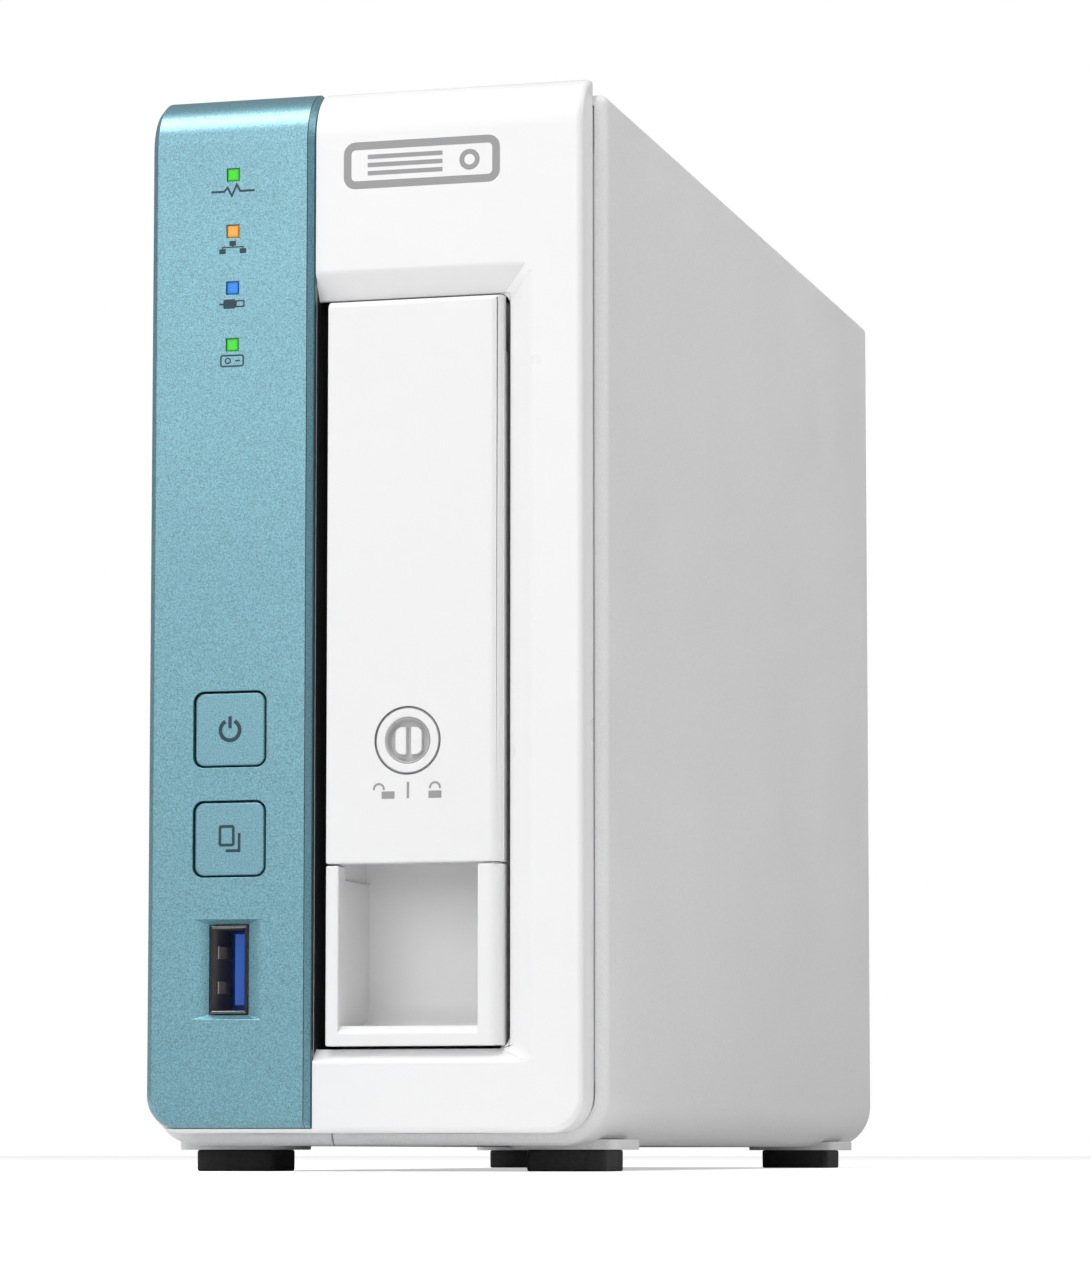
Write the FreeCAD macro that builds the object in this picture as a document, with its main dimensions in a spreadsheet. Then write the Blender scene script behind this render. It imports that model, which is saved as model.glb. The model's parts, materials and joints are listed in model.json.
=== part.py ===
"""One-bay network attached storage box: a tower casing with a sliding drive tray.

Frame: +Z up, the front looks along -Y, origin on the ground under the middle of the casing.
All lengths are millimetres. The driving sizes live in the sheet "Dim", and every sub-part is
bound to them.
"""
import FreeCAD, Part
import math
import os
import re
import Sketcher

Vector = FreeCAD.Vector

CASING = {
    "width": 74.5,
    "depth": 219.0,
    "height": 170.4,
    "wall": 2.0,
    "casing_low": 4.0,
    "casing_high": 168.0,
    "casing_corner": 8.0,
    "casing_edge": 1.5,
    "lip_setback": 7.8,
    "lip_edge": 1.8,
    "seam": -7.0,
    "seam_gap": 0.2,
    "vent_width": 3.0,
    "vent_length": 30.0,
    "vent_pitch": 7.0,
    "panel_inset": 1.0,
    "panel_thick": 2.0,
    "panel_gap": 0.25,
    "vent_first": 0.0,
    "vent_front_row": -20.0,
    "vent_rear_row": 22.0,
    "post_radius": 3.4,
    "post_reach": 14.0,
    "post_depth": 3.2,
    "post_inset": 5.0,
    "post_rise": 5.2,
    "post_drop": 7.0,
    "post_corner_rise": 9.0,
    "post_middle": -14.0,
}
FEET = {
    "foot_wide": 12.9,
    "foot_deep": 12.0,
    "foot_edge": 1.0,
    "foot_side": 27.3,
    "foot_front": -83.2,
    "foot_rear": 89.1,
    "pad_rise": 0.6,
    "pad_border": 2.3,
}
FRONT = {
    "bezel_setback": 1.0,
    "bezel_inset": 2.15,
    "bezel_low": 5.9,
    "bezel_corner": 5.5,
    "bezel_edge": 1.0,
    "bezel_back": -97.0,
    "face_thick": 3.0,
    "brow": 8.5,
    "plate_thick": 2.0,
    "plate_low": 6.7,
    "plate_right": -8.2,
    "plate_back": -101.9,
    "plate_bevel": 1.0,
    "plate_gap": 0.1,
    "mouth_right": 22.95,
    "mouth_low": 18.85,
    "mouth_high": 136.2,
    "mouth_corner": 2.0,
    "flare_side": 4.0,
    "flare_low": 1.9,
    "flare_high": 4.1,
    "flare_depth": 2.4,
    "control_line": -21.5,
    "lamp_side": 2.0,
    "lamp_top": 156.6,
    "lamp_pitch": 9.05,
    "button_side": 11.4,
    "button_gap": 0.3,
    "button_corner": 1.7,
    "button_sink": 0.15,
    "button_cap": 4.4,
    "button_flange": 0.9,
    "button_stem": 2.2,
    "power_high": 68.75,
    "copy_high": 51.6,
    "port_line": -21.8,
    "port_high": 31.3,
    "port_wide": 6.4,
    "port_tall": 14.0,
    "port_flare": 2.4,
    "port_flare_end": 0.8,
    "front_post_left": -30.5,
    "front_post_right": -12.8,
    "front_post_upper": 112.0,
    "front_post_middle": 84.0,
    "front_post_lower": 17.0,
    "front_post_radius": 2.4,
}
TRAY = {
    "tray_left": -6.1,
    "tray_right": 22.2,
    "tray_low": 19.3,
    "tray_high": 135.75,
    "tray_front": -108.3,
    "tray_wall": 1.4,
    "tray_edge": 2.2,
    "lever_low": 47.5,
    "lever_thick": 2.6,
    "lever_skirt": 1.9,
    "lever_gap": 0.3,
    "lever_top_edge": 1.2,
    "lever_sweep": 4.8,
    "pocket_left": -4.0,
    "pocket_right": 18.35,
    "pocket_low": 22.45,
    "pocket_depth": 16.5,
    "pocket_roof": 54.5,
    "pocket_sill": 1.15,
    "pocket_heel": 5.0,
    "pin_rise": 4.2,
    "pin_radius": 0.8,
    "pin_play": 0.05,
    "ear_radius": 1.5,
    "ear_half": 1.2,
    "ear_inner": 3.4,
    "knuckle_radius": 2.0,
    "knuckle_wide": 4.0,
    "knuckle_left": 1.0,
    "knuckle_right": 15.0,
    "lock_side": 7.1,
    "lock_high": 66.45,
    "lock_radius": 3.55,
    "lock_play": 0.05,
    "lock_collar": 5.2,
    "lock_key": 4.65,
    "lock_ring": 5.25,
    "lock_ring_wide": 0.25,
    "lock_ring_deep": 0.3,
    "cam_reach": 9.0,
    "cam_half": 2.0,
    "cam_thick": 1.6,
    "cradle_back": 58.0,
    "rail_low": 22.0,
    "rail_high": 134.0,
    "rail_wide": 16.0,
    "cradle_window_front": -78.0,
    "cradle_window_long": 36.0,
    "cradle_window_pitch": 44.0,
    "cradle_window_border": 14.0,
}
DRIVE = {
    "drive_thick": 26.1,
    "drive_tall": 101.6,
    "drive_long": 147.0,
    "drive_left": -4.4,
    "drive_front": -85.0,
    "drive_lid": 1.2,
    "drive_mid": 78.0,
    "drive_hole_up": 6.35,
    "drive_hole_front": 28.5,
    "drive_hole_step": 101.6,
    "drive_screw": 1.75,
}
CAGE = {
    "cage_left": -9.4,
    "cage_right": 25.4,
    "cage_low": 15.4,
    "cage_high": 139.6,
    "cage_front": -96.5,
    "cage_back": 66.0,
    "sheet_thick": 1.0,
    "guide_left": -2.0,
    "guide_wide": 10.0,
    "guide_front": -87.0,
    "guide_back": 60.0,
    "guide_gap": 0.4,
    "cage_screw": 1.5,
    "cage_screw_left": 12.0,
    "cage_screw_right": 20.5,
    "cage_screw_front": -60.0,
    "cage_screw_back": 45.0,
    "window_front": -66.0,
    "window_back": 38.0,
    "window_low": 38.0,
    "window_high": 118.0,
    "breather_radius": 5.0,
    "breather_front": -60.0,
    "breather_pitch": 20.0,
    "breather_rise": 30.0,
}
BOARDS = {
    "board_thick": 1.6,
    "main_left": -32.0,
    "main_front": -88.0,
    "main_back": 104.5,
    "main_low": 10.0,
    "main_high": 118.0,
    "front_board_face": -96.0,
    "front_board_left": -33.5,
    "front_board_right": -10.5,
    "front_board_low": 13.0,
    "front_board_high": 162.0,
    "switch_side": 6.0,
    "switch_rise": 3.5,
    "plunger_radius": 1.7,
    "board_screw": 1.0,
    "main_post_front": -70.0,
    "main_post_middle": 60.0,
    "main_post_back": 80.0,
    "main_post_low": 18.0,
    "main_post_half": 52.0,
    "main_post_high": 110.0,
    "processor_side": 17.0,
    "processor_rise": 1.2,
    "processor_back": 20.0,
    "processor_high": 75.0,
    "sink_side": 34.0,
    "sink_base": 2.0,
    "sink_rise": 12.0,
    "fin_thick": 1.0,
    "memory_long": 13.0,
    "memory_tall": 9.0,
    "memory_rise": 1.0,
    "memory_back": -14.0,
    "cell_radius": 10.0,
    "cell_rise": 3.2,
    "cell_back": 52.0,
    "cell_high": 34.0,
    "backplane_face": 68.0,
    "backplane_left": -23.9,
    "backplane_right": 22.0,
    "backplane_low": 44.0,
    "backplane_high": 112.0,
    "socket_low": 60.0,
    "socket_high": 101.0,
    "socket_wide": 7.0,
    "link_low": 56.0,
    "link_high": 88.0,
    "header_back": 74.0,
    "header_high": 96.0,
    "header_side": 6.0,
    "header_rise": 4.5,
    "lead_radius": 0.6,
    "lead_side": -16.0,
    "lead_turn": -20.5,
    "lead_straight": 6.7,
}
PORTS = {
    "shell_wide": 6.0,
    "shell_tall": 13.6,
    "shell_thick": 0.35,
    "shell_long": 12.4,
    "tongue_wide": 1.6,
    "tongue_tall": 11.1,
    "tongue_offset": 0.75,
    "port_face": 108.3,
    "rear_port_side": -26.4,
    "rear_port_upper": 73.0,
    "rear_port_lower": 57.0,
    "network_high": 38.0,
    "network_tall": 16.0,
    "network_wide": 13.5,
    "network_long": 21.0,
    "network_mouth_tall": 11.8,
    "network_mouth_wide": 8.2,
    "network_mouth_deep": 13.0,
    "power_in_high": 20.0,
    "power_in_tall": 9.5,
    "power_in_wide": 11.0,
    "power_in_long": 14.0,
    "power_in_bore": 3.2,
    "power_in_pin": 1.0,
    "power_in_deep": 10.0,
    "reset_high": 86.0,
    "reset_side": -27.4,
    "reset_radius": 1.0,
    "anchor_high": 158.0,
    "anchor_side": 4.5,
    "anchor_wide": 7.0,
    "anchor_tall": 3.0,
}
FAN = {
    "fan_side": 60.0,
    "fan_long": 20.0,
    "fan_x": 4.5,
    "fan_z": 122.0,
    "fan_back": 106.4,
    "fan_bore": 29.2,
    "fan_corner": 4.0,
    "fan_hole_step": 50.0,
    "fan_screw": 1.9,
    "hub_radius": 13.0,
    "hub_long": 14.0,
    "hub_wall": 1.6,
    "stator_radius": 10.2,
    "shaft_radius": 1.0,
    "shaft_play": 0.05,
    "strut_wide": 3.0,
    "strut_thick": 3.0,
    "blade_tip": 27.3,
    "blade_half": 5.6,
    "blade_rise": 5.5,
    "blade_thick": 1.3,
    "grille_slot": 2.8,
    "grille_step": 5.2,
    "grille_spoke": 2.4,
    "panel_vent_side": 16.0,
    "panel_vent_wide": 26.0,
    "panel_vent_low": 22.0,
}
BLADES = 7
GRILLE_RINGS = 5
BREATHERS = 6
CRADLE_WINDOWS = 3
VENTS = 8
SINK_FINS = 8
TOLERANCE = 0.01

doc = FreeCAD.newDocument("storage_box")
sheet = doc.addObject("Spreadsheet::Sheet", "Dim")
row = 0
for section in (CASING, FEET, FRONT, TRAY, DRIVE, CAGE, BOARDS, PORTS, FAN):
    for alias, number in section.items():
        row += 1
        sheet.set("A%d" % row, alias)
        sheet.set("B%d" % row, str(number))
        sheet.setAlias("B%d" % row, alias)
doc.recompute()

WORD = re.compile(r"[a-z][a-z_]*")
sub_parts = {}


# ---------------------------------------------------------------- expressions and bindings

def formula(text):
    """Arithmetic on the sheet's names, written so that FreeCAD can bind it."""
    return WORD.sub(lambda word: "Dim." + word.group(), str(text))


def value(text):
    """The number that a formula stands for now."""
    return float(sheet.evalExpression(formula(text)))


def bind(item, **paths):
    """Binds properties to formulas; a double underscore stands for a dot."""
    for path, text in paths.items():
        item.setExpression(path.replace("__", "."), formula(text))


def keep(item, label):
    """Marks an object as the finished sub-part of this name."""
    item.Label = label
    sub_parts[label] = item
    return item


def minus(high, low):
    return "(%s) - (%s)" % (high, low)


def around(centre, size):
    """A pair of formulas, half a size to each side of a centre."""
    return ("(%s) - (%s) / 2" % (centre, size), "(%s) + (%s) / 2" % (centre, size))


# ---------------------------------------------------------------- solids and booleans

def block(name, x, y, z):
    """A box between two formulas along each axis."""
    item = doc.addObject("Part::Box", name)
    bind(item, Length=minus(x[1], x[0]), Width=minus(y[1], y[0]), Height=minus(z[1], z[0]))
    bind(item, Placement__Base__x=x[0], Placement__Base__y=y[0], Placement__Base__z=z[0])
    doc.recompute([item])
    return item


def rod(name, axis, at, span, radius):
    """A cylinder along an axis; at gives its two other coordinates, in x, y, z order."""
    turns = {"x": (Vector(0, 1, 0), 90), "y": (Vector(1, 0, 0), -90), "z": (Vector(0, 0, 1), 0)}
    item = doc.addObject("Part::Cylinder", name)
    item.Placement = FreeCAD.Placement(Vector(), FreeCAD.Rotation(*turns[axis]))
    places = dict(zip([letter for letter in "xyz" if letter != axis], at))
    places[axis] = span[0]
    bind(item, Radius=radius, Height=minus(span[1], span[0]))
    bind(item, Placement__Base__x=places["x"], Placement__Base__y=places["y"])
    bind(item, Placement__Base__z=places["z"])
    doc.recompute([item])
    return item


def funnel(name, front, back, x_front, x_back, z_front, z_back):
    """A tapering block along Y, from one rectangle at the front to another at the back."""
    item = doc.addObject("Part::Wedge", name)
    bind(item, Ymin=front, Ymax=back, Xmin=x_front[0], Xmax=x_front[1])
    bind(item, Zmin=z_front[0], Zmax=z_front[1], X2min=x_back[0], X2max=x_back[1])
    bind(item, Z2min=z_back[0], Z2max=z_back[1])
    doc.recompute([item])
    return item


def fuse(name, *items):
    item = doc.addObject("Part::MultiFuse", name)
    item.Shapes = list(items)
    item.Refine = True
    doc.recompute([item])
    return item


def cut(name, base, *tools):
    tool = tools[0] if len(tools) == 1 else fuse(name + "Tools", *tools)
    item = doc.addObject("Part::Cut", name)
    item.Base = base
    item.Tool = tool
    item.Refine = True
    doc.recompute([item])
    return item


def group(name, items):
    """Identical loose pieces kept together as separate solids."""
    item = doc.addObject("Part::Compound", name)
    item.Links = list(items)
    doc.recompute([item])
    return item


def edges_in(item, axis=None, **planes):
    """Numbers of the edges that lie in the planes given, and run along the axis if any."""
    found = []
    places = {letter: value(text) for letter, text in planes.items()}
    for number, edge in enumerate(item.Shape.Edges, 1):
        box = edge.BoundBox
        spans = {"x": (box.XMin, box.XMax), "y": (box.YMin, box.YMax), "z": (box.ZMin, box.ZMax)}
        flat = all(
            abs(end - place) < TOLERANCE
            for letter, place in places.items()
            for end in spans[letter]
        )
        reach = spans[axis][1] - spans[axis][0] if axis else edge.Length
        if flat and reach > edge.Length - TOLERANCE:
            found.append(number)
    return found


def dress(kind, name, base, rounds):
    """Part::Fillet or Part::Chamfer on edge numbers; each round is (size, edges)."""
    item = doc.addObject(kind, name)
    item.Base = base
    item.Edges = [(edge, value(size), value(size)) for size, edges in rounds for edge in edges]
    doc.recompute([item])
    return item


def fillet(name, base, *rounds):
    return dress("Part::Fillet", name, base, rounds)


def chamfer(name, base, *rounds):
    return dress("Part::Chamfer", name, base, rounds)


# ---------------------------------------------------------------- bodies and sketches

def new_body(name, **place):
    """A PartDesign body with its own placement."""
    body = doc.addObject("PartDesign::Body", name)
    for letter, text in place.items():
        body.setExpression("Placement.Base." + letter, formula(text))
    return body


def new_sketch(body, name, plane, offset="0"):
    """A sketch on one of the body's own origin planes, moved along its normal."""
    sketch = body.newObject("Sketcher::SketchObject", name)
    support = next(item for item in body.Origin.OriginFeatures if item.Role == plane + "_Plane")
    sketch.AttachmentSupport = [(support, "")]
    sketch.MapMode = "FlatFace"
    sketch.setExpression("AttachmentOffset.Base.z", formula(offset))
    return sketch


def hold(sketch, kind, geometry, point, text):
    """Ties one coordinate of a point to the sketch's origin by a formula."""
    index = sketch.addConstraint(
        Sketcher.Constraint(kind, -1, 1, geometry, point, value(text))
    )
    sketch.setExpression("Constraints[%d]" % index, formula(text))


def polygon(sketch, corners):
    """A closed outline of straight lines through corners given as formulas."""
    points = [Vector(value(x), value(y), 0) for x, y in corners]
    first = sketch.GeometryCount
    count = len(points)
    for index in range(count):
        sketch.addGeometry(Part.LineSegment(points[index], points[(index + 1) % count]), False)
    for index in range(count):
        following = first + (index + 1) % count
        sketch.addConstraint(Sketcher.Constraint("Coincident", first + index, 2, following, 1))
    for index, (x, y) in enumerate(corners):
        hold(sketch, "DistanceX", first + index, 1, x)
        hold(sketch, "DistanceY", first + index, 1, y)


def rectangle(sketch, x, y):
    polygon(sketch, [(x[0], y[0]), (x[1], y[0]), (x[1], y[1]), (x[0], y[1])])


def circle(sketch, x, y, radius):
    place = Part.Circle(Vector(value(x), value(y), 0), Vector(0, 0, 1), value(radius))
    index = sketch.addGeometry(place, False)
    hold(sketch, "DistanceX", index, 3, x)
    hold(sketch, "DistanceY", index, 3, y)
    size = sketch.addConstraint(Sketcher.Constraint("Radius", index, value(radius)))
    sketch.setExpression("Constraints[%d]" % size, formula(radius))


def pad(body, name, sketch, length, reverse=False):
    feature = body.newObject("PartDesign::Pad", name)
    feature.Profile = sketch
    feature.setExpression("Length", formula(length))
    feature.Reversed = reverse
    doc.recompute()
    return feature


def pocket(body, name, sketch, length=None):
    """A pocket against the sketch's normal, or both ways through everything."""
    feature = body.newObject("PartDesign::Pocket", name)
    feature.Profile = sketch
    if length is None:
        feature.Type = "ThroughAll"
        feature.Midplane = True
    else:
        feature.setExpression("Length", formula(length))
    doc.recompute()
    return feature


def soften(body, name, radius, edges):
    """A PartDesign fillet on edge numbers of the body's last feature."""
    base = body.Tip
    feature = body.newObject("PartDesign::Fillet", name)
    feature.Base = (base, ["Edge%d" % number for number in edges])
    feature.setExpression("Radius", formula(radius))
    doc.recompute()
    return feature


def long_edges(item, axis, least=1.0):
    """Numbers of the edges that reach further than this along an axis."""
    lengths = {"x": "XLength", "y": "YLength", "z": "ZLength"}
    return [
        number
        for number, edge in enumerate(item.Shape.Edges, 1)
        if getattr(edge.BoundBox, lengths[axis]) > least
    ]


def plain_body(name, x, y, z):
    """A body padded up from a rectangle, placed by its low corner."""
    body = new_body(name, x=x[0], y=y[0], z=z[0])
    sketch = new_sketch(body, name + "Outline", "XY")
    rectangle(sketch, ("0", minus(x[1], x[0])), ("0", minus(y[1], y[0])))
    pad(body, name + "Pad", sketch, minus(z[1], z[0]))
    return body


def screw(name, axis, at, seat, length, radius, sign=1):
    """A pan-head screw: its head stands out from the seat, its shank runs the other way."""
    head = "(%s) * 0.5" % radius
    if sign > 0:
        spans = ((seat, "(%s) + %s" % (seat, head)), (minus(seat, length), seat))
    else:
        spans = (("(%s) - %s" % (seat, head), seat), (seat, "(%s) + (%s)" % (seat, length)))
    top = rod(name + "Head", axis, at, spans[0], "(%s) * 1.8" % radius)
    shank = rod(name + "Shank", axis, at, spans[1], radius)
    return fuse(name, top, shank)


# ---------------------------------------------------------------- named places

FRONT_LINE = "-depth / 2"
REAR_LINE = "depth / 2"
LIP = "-depth / 2 + lip_setback"
BEZEL_FACE = "-depth / 2 + bezel_setback"
FACE_BACK = "-depth / 2 + bezel_setback + face_thick"
BEZEL_SIDE = "width / 2 - bezel_inset"
INNER_LOW = "casing_low + wall"
INNER_HIGH = "casing_high - wall"
INNER_SIDE = "width / 2 - wall"
PANEL_BACK = "depth / 2 - panel_inset"
PANEL_FACE = "depth / 2 - panel_inset - panel_thick"
BOARD_FACE = "main_left + board_thick"
PIN_BACK = "tray_front + lever_thick"
PIN_HIGH = "tray_high - pin_rise"
POCKET_BACK = "tray_front + pocket_depth"
TRAY_BACK = "tray_front + pocket_depth + 2"
SHOULDER = "tray_front + lever_thick + lever_skirt + lever_gap"
DRIVE_SIDE_LOW = "drive_mid - drive_tall / 2"
DRIVE_SIDE_HIGH = "drive_mid + drive_tall / 2"
FAN_FRONT = "fan_back - fan_long"

FOOT_PLACES = {
    "front_left_foot": ("-foot_side", "foot_front"),
    "front_right_foot": ("foot_side", "foot_front"),
    "rear_left_foot": ("-foot_side", "foot_rear"),
    "rear_right_foot": ("foot_side", "foot_rear"),
}
COVER_POSTS = {
    "left": [
        ("post_middle", "casing_low + post_rise"),
        ("-width / 2 + post_inset", "casing_high - post_drop"),
    ],
    "right": [
        ("width / 2 - post_inset", "casing_low + post_corner_rise"),
        ("width / 2 - post_inset", "casing_high - post_drop"),
    ],
}
BOARD_POSTS = [
    ("main_post_front", "main_post_low"),
    ("main_post_front", "main_post_high"),
    ("main_post_back", "main_post_half"),
    ("main_post_middle", "main_post_high"),
]
CAGE_POSTS = [
    (side, place)
    for side in ("cage_screw_left", "cage_screw_right")
    for place in ("cage_screw_front", "cage_screw_back")
]
FRONT_POSTS = [
    ("front_post_left", "front_post_upper"),
    ("front_post_right", "front_post_middle"),
    ("front_post_left", "front_post_lower"),
]
LAMPS = ["status_light_pipe", "network_light_pipe", "usb_light_pipe", "drive_light_pipe"]


# ---------------------------------------------------------------- casing

def cover(side):
    """Half of the casing: a side wall with a top and a bottom flange up to the seam."""
    left = side == "left"
    title = side.capitalize() + "Cover"
    outer = "-width / 2" if left else "width / 2"
    inner = "-width / 2 + wall" if left else "width / 2 - wall"
    seam = "seam - seam_gap / 2" if left else "seam + seam_gap / 2"
    past = "seam + 10" if left else "seam - 10"
    span = (outer, seam) if left else (seam, outer)
    hollow_span = (inner, past) if left else (past, inner)
    solid = block(title + "Block", span, (LIP, REAR_LINE), ("casing_low", "casing_high"))
    solid = fillet(
        title + "Corners",
        solid,
        ("casing_corner", edges_in(solid, "y", x=outer, z="casing_low")),
        ("casing_edge", edges_in(solid, "y", x=outer, z="casing_high")),
    )
    seam_edges = edges_in(solid, "z", x=seam)
    lip = [edge for edge in edges_in(solid, y=LIP) if edge not in seam_edges]
    rear = [edge for edge in edges_in(solid, y=REAR_LINE) if edge not in seam_edges]
    solid = fillet(title + "Lip", solid, ("lip_edge", lip), ("panel_inset * 0.8", rear))
    hollow = block(
        title + "Hollow",
        hollow_span,
        ("-depth / 2", "depth / 2 + 1"),
        (INNER_LOW, INNER_HIGH),
    )
    inner_corner = edges_in(hollow, "y", x=inner, z=INNER_LOW)
    hollow = fillet(title + "HollowCorner", hollow, ("casing_corner - wall", inner_corner))
    shell = cut(title + "Shell", solid, hollow)
    adds = []
    for name, (x, y) in FOOT_PLACES.items():
        if side in name:
            seat = block(
                title + name.split("_")[0] + "Seat",
                around(x, "foot_wide + 2 * pad_border"),
                around(y, "foot_deep + 2 * pad_border"),
                ("casing_low - pad_rise", "casing_low + 1"),
            )
            adds.append(fillet(seat.Name + "Round", seat, ("2", long_edges(seat, "z"))))
    holes = []
    for index, (x, z) in enumerate(COVER_POSTS[side]):
        tag = title + "Post%d" % index
        span = ("depth / 2 - post_depth - post_reach", "depth / 2 - post_depth")
        adds.append(rod(tag, "y", (x, z), span, "post_radius"))
        holes.append(rod(tag + "Hole", "y", (x, z), span, "cage_screw + 0.02"))
    if left:
        for index, (y, z) in enumerate(BOARD_POSTS):
            tag = title + "Standoff%d" % index
            span = (inner + " - 0.5", "main_left")
            adds.append(rod(tag, "x", (y, z), span, "post_radius"))
            bore = (inner + " + 0.2", "main_left")
            holes.append(rod(tag + "Hole", "x", (y, z), bore, "board_screw + 0.02"))
    else:
        for index, (x, y) in enumerate(CAGE_POSTS):
            tag = title + "Pillar%d" % index
            adds.append(rod(tag, "z", (x, y), (INNER_LOW + " - 0.5", "cage_low"), "post_radius"))
            bore = (INNER_LOW + " + 1", "cage_low")
            holes.append(rod(tag + "Hole", "z", (x, y), bore, "cage_screw + 0.02"))
        for index in range(VENTS):
            x = "vent_first + %d * vent_pitch" % (index % 4)
            y = "vent_front_row" if index < 4 else "vent_rear_row"
            holes.append(block(
                title + "Vent%d" % index,
                around(x, "vent_width"),
                around(y, "vent_length"),
                ("casing_low - 1", "casing_low + wall + 1"),
            ))
    joined = fuse(title + "Joined", shell, *adds)
    keep(cut(title, joined, *holes), side + "_cover")


def feet():
    """Four soft blocks that the casing stands on."""
    for label, (x, y) in FOOT_PLACES.items():
        title = label.title().replace("_", "")
        body = plain_body(
            title,
            around(x, "foot_wide"),
            around(y, "foot_deep"),
            ("0", "casing_low - pad_rise"),
        )
        soften(body, title + "Corners", "foot_edge", long_edges(body.Tip, "z"))
        keep(body, label)


def brow_block(name, x, front, back, low, high, radius):
    """A block whose top front edge is a large round."""
    item = block(name + "Block", x, (front, back), (low, high))
    return fillet(name, item, (radius, edges_in(item, "x", y=front, z=high)))


def front_bezel():
    """The white front cap: a face with the tray's mouth in it, and a shelf for the plate."""
    side = BEZEL_SIDE
    solid = brow_block(
        "BezelBrow", ("-(%s)" % side, side), BEZEL_FACE, "bezel_back", "bezel_low", "height", "brow"
    )
    low_edges = [
        edge
        for x in ("-(%s)" % side, side)
        for edge in edges_in(solid, "y", x=x, z="bezel_low")
    ]
    solid = fillet("BezelCorners", solid, ("bezel_corner", low_edges))
    low_front = edges_in(solid, y=BEZEL_FACE, z="bezel_low")
    rim = [
        number
        for number, edge in enumerate(solid.Shape.Edges, 1)
        if edge.BoundBox.YMin < value("bezel_back") - 1
        and (edges_at_side(edge, value(side)) or number in low_front or is_low_corner(edge))
    ]
    solid = fillet("BezelRim", solid, ("bezel_edge", rim))
    shelf = block(
        "BezelShelf",
        ("-width / 2", "plate_right + plate_gap"),
        ("-depth / 2 - 1", "plate_back + plate_gap"),
        ("plate_low - plate_gap", "height + 1"),
    )
    under_plate = brow_block(
        "UnderPlate",
        ("-width", "width"),
        "-depth / 2 + plate_thick + plate_gap",
        "plate_back + 2",
        "0",
        "height - plate_thick - plate_gap",
        "brow - plate_thick + 0.5",
    )
    plate_room = cut("PlateRoom", shelf, under_plate)
    divider = ("plate_right + plate_gap - 1.8", "plate_right + plate_gap")
    left_room = brow_block(
        "BezelLeftRoom",
        ("-(%s) + wall" % side, divider[0]),
        FACE_BACK,
        "bezel_back + 1",
        "bezel_low + wall",
        "height - 2 * plate_thick - plate_gap",
        "brow - 2 * plate_thick",
    )
    right_room = brow_block(
        "BezelRightRoom",
        (divider[1], side + " - wall"),
        FACE_BACK,
        "bezel_back + 1",
        "bezel_low + wall",
        "height - wall",
        "brow - face_thick",
    )
    mouth = block(
        "TrayMouth",
        (divider[1], "mouth_right"),
        ("-depth / 2 - 1", "bezel_back + 1"),
        ("mouth_low", "mouth_high"),
    )
    mouth_corners = [
        edge for z in ("mouth_low", "mouth_high") for edge in edges_in(mouth, "y", x="mouth_right", z=z)
    ]
    mouth = fillet("TrayMouthRound", mouth, ("mouth_corner", mouth_corners))
    flare = funnel(
        "TrayFlare",
        BEZEL_FACE,
        BEZEL_FACE + " + flare_depth",
        (divider[1], "mouth_right + flare_side"),
        (divider[1], "mouth_right"),
        ("mouth_low - flare_low", "mouth_high + flare_high"),
        ("mouth_low", "mouth_high"),
    )
    slanted = [
        number
        for number, edge in enumerate(flare.Shape.Edges, 1)
        if edge.BoundBox.YLength > 1 and edge.BoundBox.XLength > 1
    ]
    flare = fillet("TrayFlareRound", flare, ("2.4", slanted))
    tongue = block(
        "BezelTongueBlock",
        ("-(%s)" % side, side),
        (LIP + " - 1", "bezel_back + 2"),
        (INNER_LOW + " + panel_gap", INNER_HIGH + " - panel_gap"),
    )
    tongue_corners = [
        edge
        for x in ("-(%s)" % side, side)
        for edge in edges_in(tongue, "y", x=x, z=INNER_LOW + " + panel_gap")
    ]
    tongue = fillet("BezelTongue", tongue, ("bezel_corner", tongue_corners))
    behind_lip = block(
        "BehindLip",
        ("-width", "width"),
        (LIP + " - plate_gap", "bezel_back + 1"),
        ("0", "height + 1"),
    )
    trim = cut("BezelTrim", behind_lip, tongue)
    openings = control_openings("Bezel", "button_side + 2 * button_gap + 0.4", "lamp_side + 0.4")
    posts = []
    bores = []
    for index, (x, z) in enumerate(FRONT_POSTS):
        span = (FACE_BACK + " - 0.5", "front_board_face")
        posts.append(rod("BezelPost%d" % index, "y", (x, z), span, "front_post_radius"))
        bore = (FACE_BACK + " + 1", "front_board_face")
        bores.append(rod("BezelPostHole%d" % index, "y", (x, z), bore, "board_screw + 0.02"))
    rooms = [plate_room, left_room, right_room, trim, mouth, flare]
    cap = cut("BezelCap", solid, *rooms, *openings)
    joined = fuse("BezelJoined", cap, *posts)
    keep(cut("FrontBezel", joined, *bores), "front_bezel")


def edges_at_side(edge, side):
    """True for an edge that lies in one of the two side faces."""
    box = edge.BoundBox
    return box.XLength < TOLERANCE and abs(abs(box.XMin) - side) < TOLERANCE


def is_low_corner(edge):
    """True for the front arc of a rounded bottom corner of the bezel."""
    box = edge.BoundBox
    in_face = box.YLength < TOLERANCE and abs(box.YMin - value(BEZEL_FACE)) < TOLERANCE
    return in_face and box.XLength > 1 and box.ZLength > 1


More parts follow.
